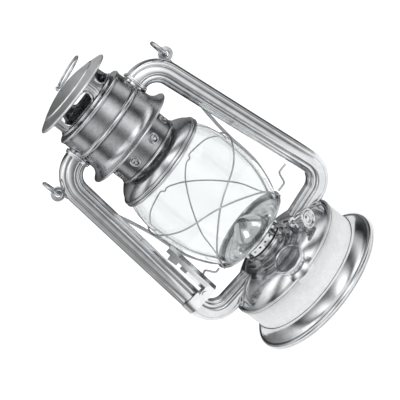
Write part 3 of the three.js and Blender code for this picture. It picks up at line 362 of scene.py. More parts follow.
def turned(name, outline, shift=None, around=None, wobble=None, crease=38):
    """A closed outline of (radius, height) turned about +Z. A wobble moves a point's radius."""
    count = around or sizes().around
    verts = []
    for i in range(count):
        angle = 2 * pi * i / count
        for r, z in outline:
            reach = wobble(angle, r, z) if wobble else r
            verts.append((reach * cos(angle), reach * sin(angle), z))
    n = len(outline)
    faces = [(i * n + k, (i + 1) % count * n + k, (i + 1) % count * n + (k + 1) % n, i * n + (k + 1) % n)
             for i in range(count) for k in range(n)]
    return mesh_piece(name, verts, faces, shift, crease)


def swept(name, path, section, side=None, closed=False, crease=38):
    """A section of (outward, sideways) points carried along a path. The sideways direction is fixed
    for a flat path, or else is carried along without twisting."""
    path = [Vector(p) for p in path]
    n = len(section)
    verts = []
    count = len(path)
    last = None
    for i, p in enumerate(path):
        before = path[(i - 1) % count] if closed else path[max(i - 1, 0)]
        after = path[(i + 1) % count] if closed else path[min(i + 1, count - 1)]
        ahead = (after - before).normalized()
        if side:
            across = Vector(side)
        elif last is None:
            across = ahead.orthogonal().normalized()
        else:
            across = (last - ahead * last.dot(ahead)).normalized()
        last = across
        outward = across.cross(ahead).normalized()
        verts += [p + outward * a + across * b for a, b in section]
    stretches = count if closed else count - 1
    faces = [(i * n + k, i * n + (k + 1) % n, (i + 1) % count * n + (k + 1) % n, (i + 1) % count * n + k)
             for i in range(stretches) for k in range(n)]
    if not closed:
        faces += [tuple(range(n)), tuple((count - 1) * n + k for k in reversed(range(n)))]
    return mesh_piece(name, verts, faces, crease=crease)


def round_wire(name, path, radius, closed=False, sides=12):
    return swept(name, path, circle(radius, sides), closed=closed, crease=60)


def plate(name, outline, thickness, shift, bevel=0.2):
    """A flat plate with softened edges, made in the XY plane and then moved."""
    n = len(outline)
    verts = [(x, y, z) for z in (-thickness / 2, thickness / 2) for x, y in outline]
    faces = [tuple(reversed(range(n))), tuple(range(n, 2 * n))]
    faces += [(k, (k + 1) % n, n + (k + 1) % n, n + k) for k in range(n)]
    piece = mesh_piece(name, verts, faces, shift)
    soften = piece.modifiers.new("soft_edges", "BEVEL")
    soften.width = bevel * MM
    soften.segments = 2
    return settled(piece)


def settled(piece):
    """Applies a piece's modifiers."""
    seen = piece.evaluated_get(bpy.context.evaluated_depsgraph_get())
    mesh = bpy.data.meshes.new_from_object(seen)
    piece.modifiers.clear()
    piece.data = mesh
    smooth(mesh)
    return piece


def carved(piece, *cutters):
    """Cuts the cutters' shapes out of a piece."""
    for cutter in cutters:
        cut = piece.modifiers.new("cut", "BOOLEAN")
        cut.operation = "DIFFERENCE"
        cut.solver = "EXACT"
        cut.object = cutter
    settled(piece)
    for cutter in cutters:
        bpy.data.objects.remove(cutter)
    return piece


def joined(name, *pieces):
    """One piece from several that are fixed to each other."""
    bm = bmesh.new()
    for piece in pieces:
        bm.from_mesh(piece.data)
    mesh = bpy.data.meshes.new(name)
    bm.to_mesh(mesh)
    bm.free()
    for piece in pieces:
        bpy.data.objects.remove(piece)
    whole = placed(name, mesh)
    smooth(mesh)
    return whole


def pressed_wall(name, outline, press, hole, thickness, around=360):
    """A round sheet wall from an open outline, dented by press(angle, r, z) and pierced where
    hole(angle, r, z), the distance in millimetres to the nearest hole's edge, is negative."""
    rows = len(outline)
    verts = []
    spans = []
    for i in range(around):
        angle = 2 * pi * i / around
        for r, z in outline:
            spans.append(hole(angle, r, z))
            reach = r + press(angle, r, z)
            verts.append((reach * cos(angle), reach * sin(angle), z))
    faces = []
    for i in range(around):
        for k in range(rows - 1):
            here, there = i * rows + k, (i + 1) % around * rows + k
            corners = (here, there, there + 1, here + 1)
            if sum(spans[c] for c in corners) > 0:
                faces.append(corners)
    used = {c for f in faces for c in f}
    renumber = {c: n for n, c in enumerate(sorted(used))}
    piece = mesh_piece(name, [verts[c] for c in sorted(used)], [tuple(renumber[c] for c in f) for f in faces])
    thick = piece.modifiers.new("thickness", "SOLIDIFY")
    thick.thickness = thickness * MM
    thick.offset = -1
    return settled(piece)


def unpressed(angle, reach, z):
    """The press of a wall that is only pierced."""
    return 0


def oblong(along, up, half_length, half_height):
    """Distance from a point to the edge of an oblong with round ends, negative inside."""
    reach = max(abs(along) - (half_length - half_height), 0)
    return hypot(reach, up) - half_height


def turn_from(angle, centre):
    """The signed angle from a centre angle, between -pi and pi."""
    return (angle - centre + pi) % (2 * pi) - pi


def dress(piece, finish_name, body="frame"):
    """Gives a piece its finish and its body, and puts it in place of the node that its name starts with."""
    piece.data.materials.clear()
    piece.data.materials.append(finish(finish_name))
    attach(piece, body)
    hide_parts(piece.name.removesuffix("_fine"))


# ---- Foot and fount ----


class LANTERN_OT_fount(bpy.types.Operator):
    """Builds the foot, the band with its rolled seam, the dome and the tank's bottom"""

    bl_idname = "lantern.fount"
    bl_label = "Foot and fount"

    def execute(self, context):
        t = sizes().sheet
        foot_high = box_mm("foot_ring")[1]
        band_low, band_high = box_mm("fount_band")
        r, top = foot_high.x, foot_high.z
        wall = band_high.x - 0.4
        bead = 1.9
        curl = arc(r - bead, bead, bead, -200, 128, 14)
        flare = flowing([(r - 3.1, 4.0), (r - 5.4, 5.7), (r - 7.6, 8.2), (r - 8.9, 10.6), (r - 9.3, top)])
        hem = [(x - 1.1, z - 0.3) for x, z in reversed(flare)]
        # The flat ring on the table stays where the frame has it.
        dress(turned("foot_ring_fine", [*curl, *flare, *hem]), BRIGHT)

        z = band_high.z
        seam = [*arc(wall - 0.15, z - 2.6, 0.55, -90, 80, 6), *arc(wall - 0.3, z - 1.0, 0.95, -60, 170, 10)]
        side = [(wall, band_low.z), (wall, z - 10), (wall, z - 4.2), (wall - 0.15, z - 3.5)]
        band = turned("fount_band_fine", sheet([(wall - 0.5, band_low.z - 0.1), *side, *seam], t))
        dress(band, SATIN)

        dome_high = box_mm("fount_dome")[1]
        edge, hole = dome_high.x, box_mm("burner_collar")[1].x - 1.5
        base, crest = band_high.z - 0.4, dome_high.z
        chord = hypot(edge - hole, crest - base)
        bulge = 4.0
        radius = chord ** 2 / (8 * bulge) + bulge / 2
        slope = atan2(crest - base, edge - hole)
        cx = (edge + hole) / 2 - (radius - bulge) * sin(slope)
        cz = (base + crest) / 2 - (radius - bulge) * cos(slope)
        half = degrees(asin(chord / 2 / radius))
        middle = 90 - degrees(slope)
        swell = arc(cx, cz, radius, middle - half, middle + half, 20)
        gutter = flowing([(edge, base - 0.6), (edge - 0.3, base - 0.2), swell[1]])[:-1]
        dome = turned("fount_dome_fine", sheet([*gutter, *swell[1:]], t))
        dress(dome, BRIGHT)

        low, high = box_mm("tank_bottom")
        rim = high.x
        pan = flowing([(0.0, low.z + 2.2), (8, low.z + 2.2), (14, low.z + 2.1), (17, low.z + 1),
                       (20, low.z + 0.1), (28, low.z), (rim - 2, low.z)], 4)
        under = [*pan, *arc(rim - 1, low.z + 1, 1, -80, 0, 4), (rim, high.z)]
        dress(turned("tank_bottom_fine", sheet(under, t)), SATIN)
        return {"FINISHED"}


class LANTERN_OT_filler(bpy.types.Operator):
    """Builds the filler's boss and its knurled cap"""

    bl_idname = "lantern.filler"
    bl_label = "Filler"

    def execute(self, context):
        point, axis = joint("cap_turn")
        here = standing_on(axis, point)
        slope = flowing([
            (14.5, -8), (14.3, -5.4), (13.2, -3), (11.6, -1.5), (10.2, -0.6), (9.2, -0.1), (8.9, -0.3)], 4)
        boss = turned("filler_boss_fine", [*slope, (8.9, -1.2), (13.4, -8)], here)
        dress(boss, BRIGHT)

        ridges = 44
        skirt, face, top = 10.9, 11.4, 6.2

        def knurl(angle, r, z):
            return r + (0.45 * cos(ridges * angle) if r > 10.4 and 1.5 < z < 4.4 else 0)

        shape = [
            (8.8, 1.2), (10.5, 1.2), (skirt, 1.6), (skirt, 2.8), (skirt, 4.1), (10.5, 4.45), (10.7, 4.7),
            (face, 4.95), (face, 5.4), (face, 5.7), *arc(face - 0.6, top - 0.45, 0.6, 10, 170, 8),
            (9.6, 5.55), (8.8, 5.7), (4, 5.8), (0, 5.85), (0, 4.7), (8.8, 4.7)]
        cap = turned("filler_cap_fine", shape, here, around=240, wobble=knurl)
        dress(cap, BRIGHT, "filler_cap")
        return {"FINISHED"}


# ---- Burner ----


class LANTERN_OT_burner(bpy.types.Operator):
    """Builds the burner's collar, pierced gallery, slotted cone and wick"""

    bl_idname = "lantern.burner"
    bl_label = "Burner"

    def execute(self, context):
        low, high = box_mm("burner_collar")
        r = high.x - 5.2
        base = low.z + 1.5
        skirt = flowing([
            (r + 5.2, base + 0.2), (r + 5.1, base + 0.8), (r + 3.2, base + 1.3), (r + 1.4, base + 2.3),
            (r + 0.3, base + 3.6), (r, base + 4.5)], 4)
        roll = arc(r + 0.15, high.z - 0.65, 0.65, -70, 150, 9)
        back = [(r - 1, high.z - 0.2), (r - 1, base - 0.8), (r + 4, base - 0.5)]
        collar = turned("burner_collar_fine", [*skirt, *roll, *back])
        dress(collar, BRIGHT)

        low, high = box_mm("burner_gallery")
        wall = high.x
        rows = [(wall, low.z + (high.z - 0.8 - low.z) * i / 12) for i in range(13)]
        shoulder = [*arc(wall - 0.8, high.z - 0.8, 0.8, 10, 90, 6), (13, high.z), (9, high.z)]
        holes, across = 20, 0.85

        def pierced(angle, reach, z):
            off = turn_from(angle * holes, 0) / holes * wall
            return hypot(off, z - (low.z + high.z) / 2) - across if reach > wall - 0.1 else 1

        gallery = pressed_wall("burner_gallery_fine", [*rows, *shoulder], unpressed, pierced, 0.6, 480)
        dress(gallery, BRIGHT)

        low, high = box_mm("burner_cone")
        r = high.x - 1.6
        h = high.z - low.z
        outside = flowing([
            (r + 1.6, low.z), (r + 0.9, low.z + 0.5), (r, low.z + 1.4), (r - 0.5, low.z + 0.28 * h),
            (r - 2.3, low.z + 0.52 * h), (r - 5.8, low.z + 0.75 * h), (r - 10, low.z + 0.93 * h),
            (0.02, high.z)], 5)
        cone = turned("burner_cone_fine", sheet(outside, 0.6))
        _, axis = joint("wick_turn")
        along = Vector((-axis.x, -axis.y, 0)).normalized()
        turn = Matrix.Rotation(atan2(along.y, along.x), 4, "Z")
        half_long, half_wide, deep = 8.6, 2.4, 14
        ellipse = [(half_long * cos(a), half_wide * sin(a)) for a in [radians(15 * i) for i in range(24)]]
        slot = plate("slot", ellipse, deep, Matrix.Translation((0, 0, high.z + 1)) @ turn, 0.05)
        dress(carved(cone, slot), BRIGHT)

        low, high = box_mm("wick")
        flat = [*arc(5.3, 0, 0.75, -90, 90, 6), *arc(-5.3, 0, 0.75, 90, 270, 6)]
        upright = Matrix.Translation((0, 0, (low.z + high.z) / 2)) @ turn
        wick = plate("wick_fine", flat, high.z - low.z, upright, 0.25)
        dress(wick, COTTON, "wick")
        return {"FINISHED"}


class LANTERN_OT_winder(bpy.types.Operator):
    """Builds the wick winder's boss and its dished knob"""

    bl_idname = "lantern.winder"
    bl_label = "Wick winder"

    def execute(self, context):
        point, axis = joint("wick_turn")
        outward = -axis
        low, high = box_mm("wick_knob")
        face = (((low + high) / 2) - point).dot(outward) + 3.3
        ribs = 22

        def milled(angle, r, z):
            return r + (0.3 * cos(ribs * angle) if r > 6.4 and -3.4 < z < -0.9 else 0)

        shape = [
            (1.4, -6.6), (2.9, -6.6), (3.1, -6.2), (3.3, -4.2), (5.8, -4.0), (6.8, -3.4), (7.2, -2.8),
            (7.2, -1.4), *arc(6.5, -0.8, 0.7, 0, 160, 8), (5.3, -1.0), (4.7, -1.35), (4.1, -1.0), (3.5, -1.0),
            (2.9, -1.5), (2.2, -1.3), (1.6, -0.9), (0.8, -0.7), (0, -0.65), (0, -3), (1.4, -3)]
        knob = turned("wick_knob_fine", shape, standing_on(outward, point + outward * face), 176, milled)
        dress(knob, BRIGHT, "wick_drive")

        collar = box_mm("burner_collar")[1].x
        level = 0.978  # how far the sloping tube runs outward for each millimetre of its length
        start, end = (collar + 2.5) / level, (collar + 11) / level
        tube = [
            (1.7, start), (3.0, start), *arc(3.15, start + 0.8, 0.5, -60, 60, 5), (3.3, start + 2),
            (3.3, end - 2), *arc(3.2, end - 0.9, 0.75, -70, 90, 7), (1.7, end - 0.2)]
        sleeve = turned("boss_tube", tube, standing_on(outward, point), 64)
        mid = point + outward * (start + end) / 2
        side = Vector((0, 0, 1)).cross(outward).normalized()
        foot = box_mm("shaft_boss")[0].z
        half = (end - start) / 2 - 1
        drop = foot - mid.z
        upright = Matrix.Translation(mid) @ Matrix((
            (outward.x, 0, side.x, 0), (outward.y, 0, side.y, 0), (0, 1, 0, 0), (0, 0, 0, 1)))
        corners = [(-half, 0), (half, 0), (half + 0.6, drop), (-half - 0.6, drop)]
        web = plate("boss_web", corners, 2.4, upright, 0.4)
        dress(joined("shaft_boss_fine", sleeve, web), BRIGHT)
        return {"FINISHED"}


# ---- Globe, plate and wires ----


def globe_line():
    """The glass's outer line: the radius swells from the foot and draws in to the top."""
    low, high = box_mm("globe")
    h, wide, foot, top = high.z - low.z, high.x, 31.2, 34.6
    swell = [(0, 0), (0.164, 0.05), (0.664, 0.22), (0.914, 0.37), (1, 0.55)]
    draw_in = [(0.061, 0.69), (0.317, 0.83), (0.72, 0.94), (1, 1)]
    return flowing([*[(foot + s * (wide - foot), low.z + u * h) for s, u in swell],
                    *[(wide - s * (wide - top), low.z + u * h) for s, u in draw_in]], 8)


class LANTERN_OT_globe(bpy.types.Operator):
    """Builds the glass globe and the dished plate that it stands on"""

    bl_idname = "lantern.globe"
    bl_label = "Globe and plate"

    def execute(self, context):
        outer = globe_line()
        inner = [(r - 1.6, z) for r, z in outer]
        lip = [(outer[-1][0] - 0.4, outer[-1][1]), (inner[-1][0] + 0.4, outer[-1][1])]
        shell = [*outer, *lip, *reversed(inner)]
        dress(turned("globe_fine", shell, crease=70), GLASS, "globe_carriage")

        low, high = box_mm("globe_plate")
        r, seat, base, mouth = high.x - 0.2, high.z - 1.6, low.z, 17.9
        edge = arc(r - 0.55, seat + 0.75, 0.85, 200, -60, 12)
        ridge = [
            (27.6, seat - 1.7), (26.2, seat - 2.2), (25.4, seat - 3.1), (23.9, seat - 3.0),
            (23.0, seat - 3.7), (21.6, base + 0.5), (20.2, base + 0.2)]
        dish = [(r - 1.5, seat - 0.4), (r - 3, seat - 1), (30, seat - 1.4), *ridge, (mouth, base)]
        face = [*edge, *flowing(dish, 3)]
        dress(turned("globe_plate_fine", sheet(face[::-1], 0.6)), BRIGHT, "globe_carriage")
        return {"FINISHED"}


def glass_radius(z):
    line = globe_line()
    return next((p[0] for p in line if p[1] >= z), line[-1][0])


# The turn from the front in degrees, positive to the far side, and the rise as a share of the wire's span.
GUARD_STATIONS = [
    (-66, 0), (-60, 0.06), (-38, 0.24), (0, 0.51), (38, 0.61), (70, 0.69), (95, 0.73), (125, 0.755),
    (150, 0.755), (156, 0.75), (159, 0.715), (165, 0.71), (180, 0.59), (196, 0.42), (216, 0.21),
    (232, 0.06), (238, 0),
]


class LANTERN_OT_wires(bpy.types.Operator):
    """Builds the crossed guard wires and the cranked lift wires"""

    bl_idname = "lantern.wires"
    bl_label = "Guard and lift wires"

    def execute(self, context):
        globe_low, globe_high = box_mm("globe")
        plate_high = box_mm("globe_plate")[1]
        wire = 0.6
        low = plate_high.z + 0.6
        span = globe_high.z - globe_low.z - 8
        for name, sign, outer in (("left", -1, 0), ("right", 1, 180)):
            points = []
            for turn, rise in GUARD_STATIONS:
                z = low + rise * span
                lift = 1.5 if turn == outer else 0
                foot = plate_high.x + 1.0 + wire if rise == 0 else 0
                reach = max(glass_radius(z) + 0.9 + wire + lift, foot)
                a = radians(turn)
                points.append((sign * reach * sin(a), -reach * cos(a), z))
            guard = round_wire(f"guard_wire_{name}_fine", flowing(points, 8), wire)
            dress(guard, WIRE, "globe_carriage")

            wire_low, wire_high = box_mm(f"lift_wire_{name}")
            thick = 0.8
            near = min(abs(wire_low.x), abs(wire_high.x))
            far = max(abs(wire_low.x), abs(wire_high.x))
            middle = (near + far) / 2
            front = wire_low.y + thick if name == "left" else 0
            bottom, top = wire_low.z + thick, wire_high.z - thick
            line = flowing([
                (sign * near, 0, bottom), (sign * (middle - 3.2), 0, bottom),
                (sign * (middle - 1.4), 0, bottom + 1.2),
                (sign * (middle + 1), front * 0.1, top - 1.2), (sign * (middle + 3), front * 0.4, top),
                (sign * far, front, top)], 7)
            crank = round_wire(f"lift_wire_{name}_fine", line, thick)
            dress(crank, WIRE, "globe_carriage")
        return {"FINISHED"}


# ---- Bell, neck, crown and cap ----


class LANTERN_OT_chimney(bpy.types.Operator):
    """Builds the bell on the glass and the dimpled neck above it"""

    bl_idname = "lantern.chimney"
    bl_label = "Bell and neck"

    def execute(self, context):
        t = sizes().sheet
        low, high = box_mm("globe_bell")
        neck_low, neck_high = box_mm("chimney_neck")
        rim, bead = high.x - 1.15, 1.15
        base = low.z + bead
        top = neck_high.x - 0.3
        beads = [*arc(rim, base, bead, -110, 75, 9),
                 *arc(rim - 0.2, base + 2 * bead, bead * 0.95, -70, 110, 9)]
        rise = high.z - base
        shares = ((0.07, 0.3), (0.14, 0.42), (0.3, 0.59), (0.5, 0.735), (0.7, 0.86), (0.88, 0.95), (1, 1))
        flare = flowing([(rim + (top - rim) * s, base + rise * u) for s, u in shares], 4)
        bell = turned("globe_bell_fine", sheet([*beads, *flare], t))
        dress(bell, DULLED, "chimney")

        r = neck_high.x - 0.8
        z0, z1 = neck_low.z, neck_high.z
        foot = [(r + 0.1, z0), *arc(r + 0.25, z0 + 0.75, 0.6, -60, 75, 6)]
        steps = 44
        wall = [(r, z0 + 1.6 + (z1 - 0.9 - z0 - 1.6) * i / steps) for i in range(steps + 1)]
        shoulder = [*arc(r - 0.8, z1 - 0.8, 0.8, 15, 90, 5), (r - 1.5, z1)]
        dimples, size, centre_z, first = 8, 3.0, z0 + 8.0, radians(21)
        deep = sizes().dimple_depth
        slit_long, slit_high = 1.7, 0.42  # half of the slit in each dimple

        def place(angle, z):
            off = turn_from((angle - FRONT - first) * dimples, 0) / dimples * r
            return off, z - centre_z

        def dent(angle, reach, z):
            along, up = place(angle, z)
            share = hypot(along, up) / size
            if share >= 1.25:
                return 0
            lip = 0.35 * exp(-((share - 1.05) / 0.14) ** 2)
            return lip - (deep * (1 - share ** 2) if share < 1 else 0)

        def slit(angle, reach, z):
            along, up = place(angle, z)
            return oblong(along, up, slit_long, slit_high)

        neck = pressed_wall("chimney_neck_fine", [*foot, *wall, *shoulder], dent, slit, t, 480)
        dress(neck, DULLED, "chimney")
        return {"FINISHED"}


class LANTERN_OT_crown(bpy.types.Operator):
    """Builds the slotted crown, the cap, its staple and the lift ring"""

    bl_idname = "lantern.crown"
    bl_label = "Crown and cap"

    def execute(self, context):
        low, high = box_mm("vent_crown")
        r = high.x - 1.6
        steps = 40
        wall = [(r, low.z + 1.9 + (high.z - low.z - 1.9) * i / steps) for i in range(steps + 1)]
        foot = [(r + 1.6, low.z), (r + 1.6, low.z + 0.6), *arc(r + 1.1, low.z + 0.8, 0.5, 0, 90, 4),
                (r + 0.4, low.z + 1.5)]
        slots, width, first = 4, radians(62), radians(-17)
        half_height = 4.1
        centre_z = low.z + 2.4 + half_height

        def at_slot(angle, reach, z):
            off = turn_from((angle - FRONT - first) * slots, 0) / slots * r
            return oblong(off, z - centre_z, width / 2 * r, half_height)

        def press(angle, reach, z):
            lip = 0.75 * exp(-((at_slot(angle, reach, z) - 0.7) / 0.6) ** 2)
            off = abs(turn_from((angle - FRONT - first - pi / slots) * slots, 0) / slots * r)
            spread = 1.1 + 1.6 * max(0, (low.z + 5 - z) / 5)
            rib = 0.8 * exp(-(off / spread) ** 2)
            return (lip + rib) if reach < r + 0.3 else 0

        crown = pressed_wall("vent_crown_fine", [*foot, *wall], press, at_slot, 0.6, 480)
        dress(crown, DULLED, "chimney")

        low, high = box_mm("cap")
        wide, rim = high.x, low.z + 0.6
        crest = high.z
        step = r - 0.4
        dome = flowing([(0.02, crest), (9, crest - 0.55), (17, crest - 1.95), (step - 2.2, crest - 3.4)], 5)
        crease = [(step - 0.9, crest - 3.7), (step - 0.1, crest - 4.75), (step + 0.5, crest - 4.8),
                  (step + 0.9, crest - 4.2)]
        brim = flowing([(step + 2, crest - 4.7), (wide - 4, rim + 2.0), (wide - 1.2, rim + 1.0),
                        (wide - 0.3, rim + 0.5)], 4)
        hem = arc(wide - 0.75, rim - 0.05, 0.72, 40, -150, 8)
        over = [*dome, *crease, *brim, *hem]
        under = [(wide - 2.4, rim + 0.2), (wide - 5, rim + 1.2), (step + 1, crest - 5.6),
                 (step - 1, crest - 5.5), (17, crest - 2.9), (0.02, crest - 0.8)]
        dress(turned("cap_fine", [*over, *under], around=144), SATIN, "chimney")

        point, _ = joint("ring_fold")
        arch = [(point.x + 1.55 * cos(a), 0, point.z + 1.55 * sin(a))
                for a in [radians(-50 + 280 * i / 16) for i in range(17)]]
        staple = round_wire("ring_staple_fine", arch, 0.5, sides=10)
        dress(staple, DULLED, "chimney")

        ring_high = box_mm("lift_ring")[1]
        thick = 0.8
        reach = ring_high.y - thick
        tilt = asin((ring_high.z - thick - point.z) / (2 * reach)) if ring_high.z > point.z else 0
        loop = [(point.x + (reach + x) * cos(tilt), y, point.z + (reach + x) * sin(tilt))
                for x, y in circle(reach, 72)]
        dress(round_wire("lift_ring_fine", loop, thick, closed=True), WIRE, "lift_ring")
        return {"FINISHED"}


# ---- Hood, tubes and bail ----


class LANTERN_OT_hood(bpy.types.Operator):
    """Builds the hood with its beads and drip edge"""

    bl_idname = "lantern.hood"
    bl_label = "Hood"

    def execute(self, context):
        low, high = box_mm("hood_shell")
        lip, top = low.z + 0.5, high.z
        wide = high.x
        r = wide - 7
        hole = 25.0
        drip = arc(wide - 0.75, lip + 0.25, 0.75, -110, 60, 9)
        skirt = flowing([(wide - 1.6, lip + 1.45), (r + 3, lip + 3.2), (r + 1.1, lip + 5.6),
                         (r + 0.3, lip + 8.4), (r - 0.1, top - 18.9)], 12)
        bead = arc(r - 0.2, top - 16.8, 1.6, -70, 70, 12)
        body = flowing([(r - 0.3, top - 14.6), (r - 0.7, top - 8), (r - 0.9, top - 3.6)], 11)
        collar = arc(r - 1.5, top - 1.3, 1.15, -40, 100, 9)
        lid = [(r - 2.4, top - 0.2), (r - 4.2, top - 0.1), (hole, top)]
        outline = [*drip, *skirt, *bead, *body, *collar, *lid]
        collar_low, collar_high = box_mm("tube_collar_right")
        centre_z = (collar_low.z + collar_high.z) / 2
        bore = box_mm("side_tube_right")[1].y + 0.15

        def mouth(angle, reach, z):
            return hypot(reach * sin(angle), z - centre_z) - bore

        shell = pressed_wall("hood_shell_fine", outline, unpressed, mouth, 0.5)
        dress(shell, DULLED)
        return {"FINISHED"}


EAR_RADIUS = 5.3


def bend(radius, start, end, steps=14):
    """Shifts along a bend in the tube's plane, from one heading to another, in degrees."""
    heads = [radians(start + (end - start) * i / steps) for i in range(1, steps + 1)]
    first = radians(start)
    return [(-radius * (sin(h) - sin(first)), radius * (cos(h) - cos(first))) for h in heads]


def tube_line():
    """The right air tube's centre line as (distance out, height), from the hood to the dome."""
    tilt, slope, top_bend, foot_bend, reach = 6.7, 5.0, 17.5, 16.5, 24.0
    high = box_mm("side_tube_right")[1]
    radius = high.y
    collar_low, collar_high = box_mm("tube_collar_right")
    top = (collar_low.z + collar_high.z) / 2
    foot = box_mm("fount_band")[1].z - 0.4 + 2.6 + radius
    down, inward = -90 + tilt, -180 + slope
    over = bend(top_bend, 0, down)
    under = bend(foot_bend, down, inward)
    leg_x = high.x - radius - foot_bend * (1 - cos(radians(tilt)))
    leg_z = foot - under[-1][1]
    start_x = leg_x - (top + over[-1][1] - leg_z) * tan(radians(tilt)) - over[-1][0]
    lap = 8.8  # from the hood's widest edge in to the tube's open end
    mouth = box_mm("hood_shell")[1].x - lap
    line = [(mouth, top), ((mouth + start_x) / 2, top), (start_x, top)]
    line += [(start_x + x, top + z) for x, z in over]
    last = line[-1]
    line += [(last[0] + (leg_x - last[0]) * i / 8, last[1] + (leg_z - last[1]) * i / 8) for i in range(1, 9)]
    line += [(leg_x + x, leg_z + z) for x, z in under]
    end = line[-1]
    line += [(end[0] - reach * i / 3, end[1] - reach * tan(radians(slope)) * i / 3) for i in range(1, 4)]
    return line, radius, top


class LANTERN_OT_tubes(bpy.types.Operator):
    """Builds the fluted air tubes with their collars and bail ears, and finishes the flanges"""

    bl_idname = "lantern.tubes"
    bl_label = "Air tubes"

    def execute(self, context):
        line, radius, top = tube_line()
        deep = sizes().flute_depth
        sides = 72
        # The grooves lie this many degrees round from the outer edge, on the front and on the back.
        grooves = [38, 66, 126]

        def fluted():
            section = []
            for k in range(sides):
                a = 360 * k / sides
                off = min(abs((a - g + 180) % 360 - 180) for g in [*grooves, *[-g for g in grooves]])
                r = radius - deep * exp(-(off / 5.5) ** 2)
                section.append((r * cos(radians(a)), r * sin(radians(a))))
            return section

        for name, s in (("left", -1), ("right", 1)):
            side = (0, s, 0)
            path = [(s * x, 0, z) for x, z in line]
            tube = swept(f"side_tube_{name}_fine", path, fluted(), side=side, crease=60)
            dress(tube, BRIGHT)

            near = box_mm(f"tube_collar_{name}")
            x = min(abs(near[0].x), abs(near[1].x))
            ring = [(radius - 0.2, -0.9), *arc(radius + 0.7, -0.2, 0.75, -110, 60, 7),
                    *arc(radius + 0.4, 1.2, 0.6, -20, 110, 6), (radius - 0.2, 1.9)]
            here = standing_on(Vector((s, 0, 0)), Vector((s * x, 0, top)))
            collar = turned(f"tube_collar_{name}_fine", ring, here, 72)
            dress(collar, BRIGHT)

            paint(f"tube_flange_{name}", BRIGHT)

            pivot, _ = joint("bail_swing")
            ear_high = box_mm(f"bail_ear_{name}")
            ear_x = max(abs(ear_high[0].x), abs(ear_high[1].x)) - EAR_RADIUS
            centre = Vector((s * ear_x, 0, pivot.z - 6.0))
            disc = [(2.3, -0.7), (2.6, -0.95), (3.2, -0.75), (4.3, -0.65), *arc(4.75, 0, 0.6, -80, 80, 7),
                    (4.3, 0.65), (3.2, 0.75), (2.6, 0.95), (2.3, 0.7)]
            ear = turned(f"bail_ear_{name}_fine", disc, standing_on(Vector((0, -1, 0)), centre), 72)
            dress(ear, DULLED)
        return {"FINISHED"}


# How far the bail has come in from its ear, in millimetres, and its share of the drop.
BAIL_SIDE = [
    (0.7, 0.067), (4.2, 0.175), (8.5, 0.283), (12.3, 0.391), (15.4, 0.553), (16.3, 0.701), (18.8, 0.802),
    (26.8, 0.937), (40.9, 0.988),
]


class LANTERN_OT_bail(bpy.types.Operator):
    """Builds the wire bail with its eyes"""

    bl_idname = "lantern.bail"
    bl_label = "Bail"

    def execute(self, context):
        pivot, _ = joint("bail_swing")
        low, high = box_mm("bail")
        thick = 1.3
        eye = high.z - pivot.z - thick
        ear_x = box_mm("bail_ear_right")[1].x - EAR_RADIUS
        drop = pivot.z - low.z - thick
        lean = (high.y - thick - eye) / drop

        def leg(x, share):
            return Vector((x, eye + lean * drop * share, pivot.z - drop * share))

        side = [leg(ear_x, 0.0), *[leg(ear_x - i, share) for i, share in BAIL_SIDE], leg(0, 1)]
        mirror = [Vector((-p.x, p.y, p.z)) for p in reversed(side[:-1])]
        wires = [round_wire("bail_wire", flowing([*side, *mirror], 8), thick)]
        for s in (-1, 1):
            loop = [(s * ear_x, y, pivot.z + z) for y, z in circle(eye, 48)]
            wires.append(round_wire("bail_eye", loop, thick, closed=True))
        dress(joined("bail_fine", *wires), WIRE, "bail")
        return {"FINISHED"}


class LANTERN_OT_spring(bpy.types.Operator):
    """Builds the coil spring that presses the chimney down, with a mesh of its own"""

    bl_idname = "lantern.spring"
    bl_label = "Chimney spring"

    def execute(self, context):
        low, high = box_mm("chimney_spring")
        thick = 0.8
        turns, steps = 7, 22
        radius = high.x - thick
        closed = 0.6  # share of a turn laid flat at each end
        start, end = low.z + thick, high.z - thick
        coil = []
        for i in range(turns * steps + 1):
            turn = i / steps
            share = min(max((turn - closed) / (turns - 2 * closed), 0), 1)
            a = 2 * pi * turn
            coil.append((radius * cos(a), radius * sin(a), start + (end - start) * share))
        spring = round_wire("chimney_spring_fine", coil, thick, sides=8)
        dress(spring, DULLED)
        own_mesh(spring)
        return {"FINISHED"}


class LANTERN_OT_lever(bpy.types.Operator):
    """Finishes the lift lever, its bracket, pin and leaf spring"""

    bl_idname = "lantern.lever"
    bl_label = "Lift lever"

    def execute(self, context):
        for node in ("lift_lever", "lever_bracket", "lever_pin", "lever_leaf_spring"):
            paint(node, BRIGHT)
        return {"FINISHED"}


def paint(node, finish_name):
    """Gives a CAD node that stays in view a better finish."""
    shown = frame["nodes"][node]
    if not shown.material_slots:
        shown.data.materials.append(finish(finish_name))
    for slot in shown.material_slots:
        slot.material = finish(finish_name)


class LANTERN_OT_inner(bpy.types.Operator):
    """Finishes the pieces inside that keep their shape"""

    bl_idname = "lantern.inner"
    bl_label = "Inner pieces"

    def execute(self, context):
        for node in ("tank_top", "filler_neck", "burner_body", "wick_tube", "wick_shaft"):
            paint(node, SATIN)
        for node in ("chimney_tube", "hood_guide_ring"):
            paint(node, DULLED)
        for node in ("cap_gasket", "burner_gasket"):
            paint(node, RUBBER)
        return {"FINISHED"}


# ---- Stage ----


def softbox(name, place, aim, size, power):
    data = bpy.data.lights.new(name, "AREA")
    data.shape = "RECTANGLE"
    data.size, data.size_y = size
    data.energy = power
    lamp = placed(name, data)
    lamp.location = place
    lamp.rotation_euler = (Vector(aim) - Vector(place)).to_track_quat("-Z", "Y").to_euler()


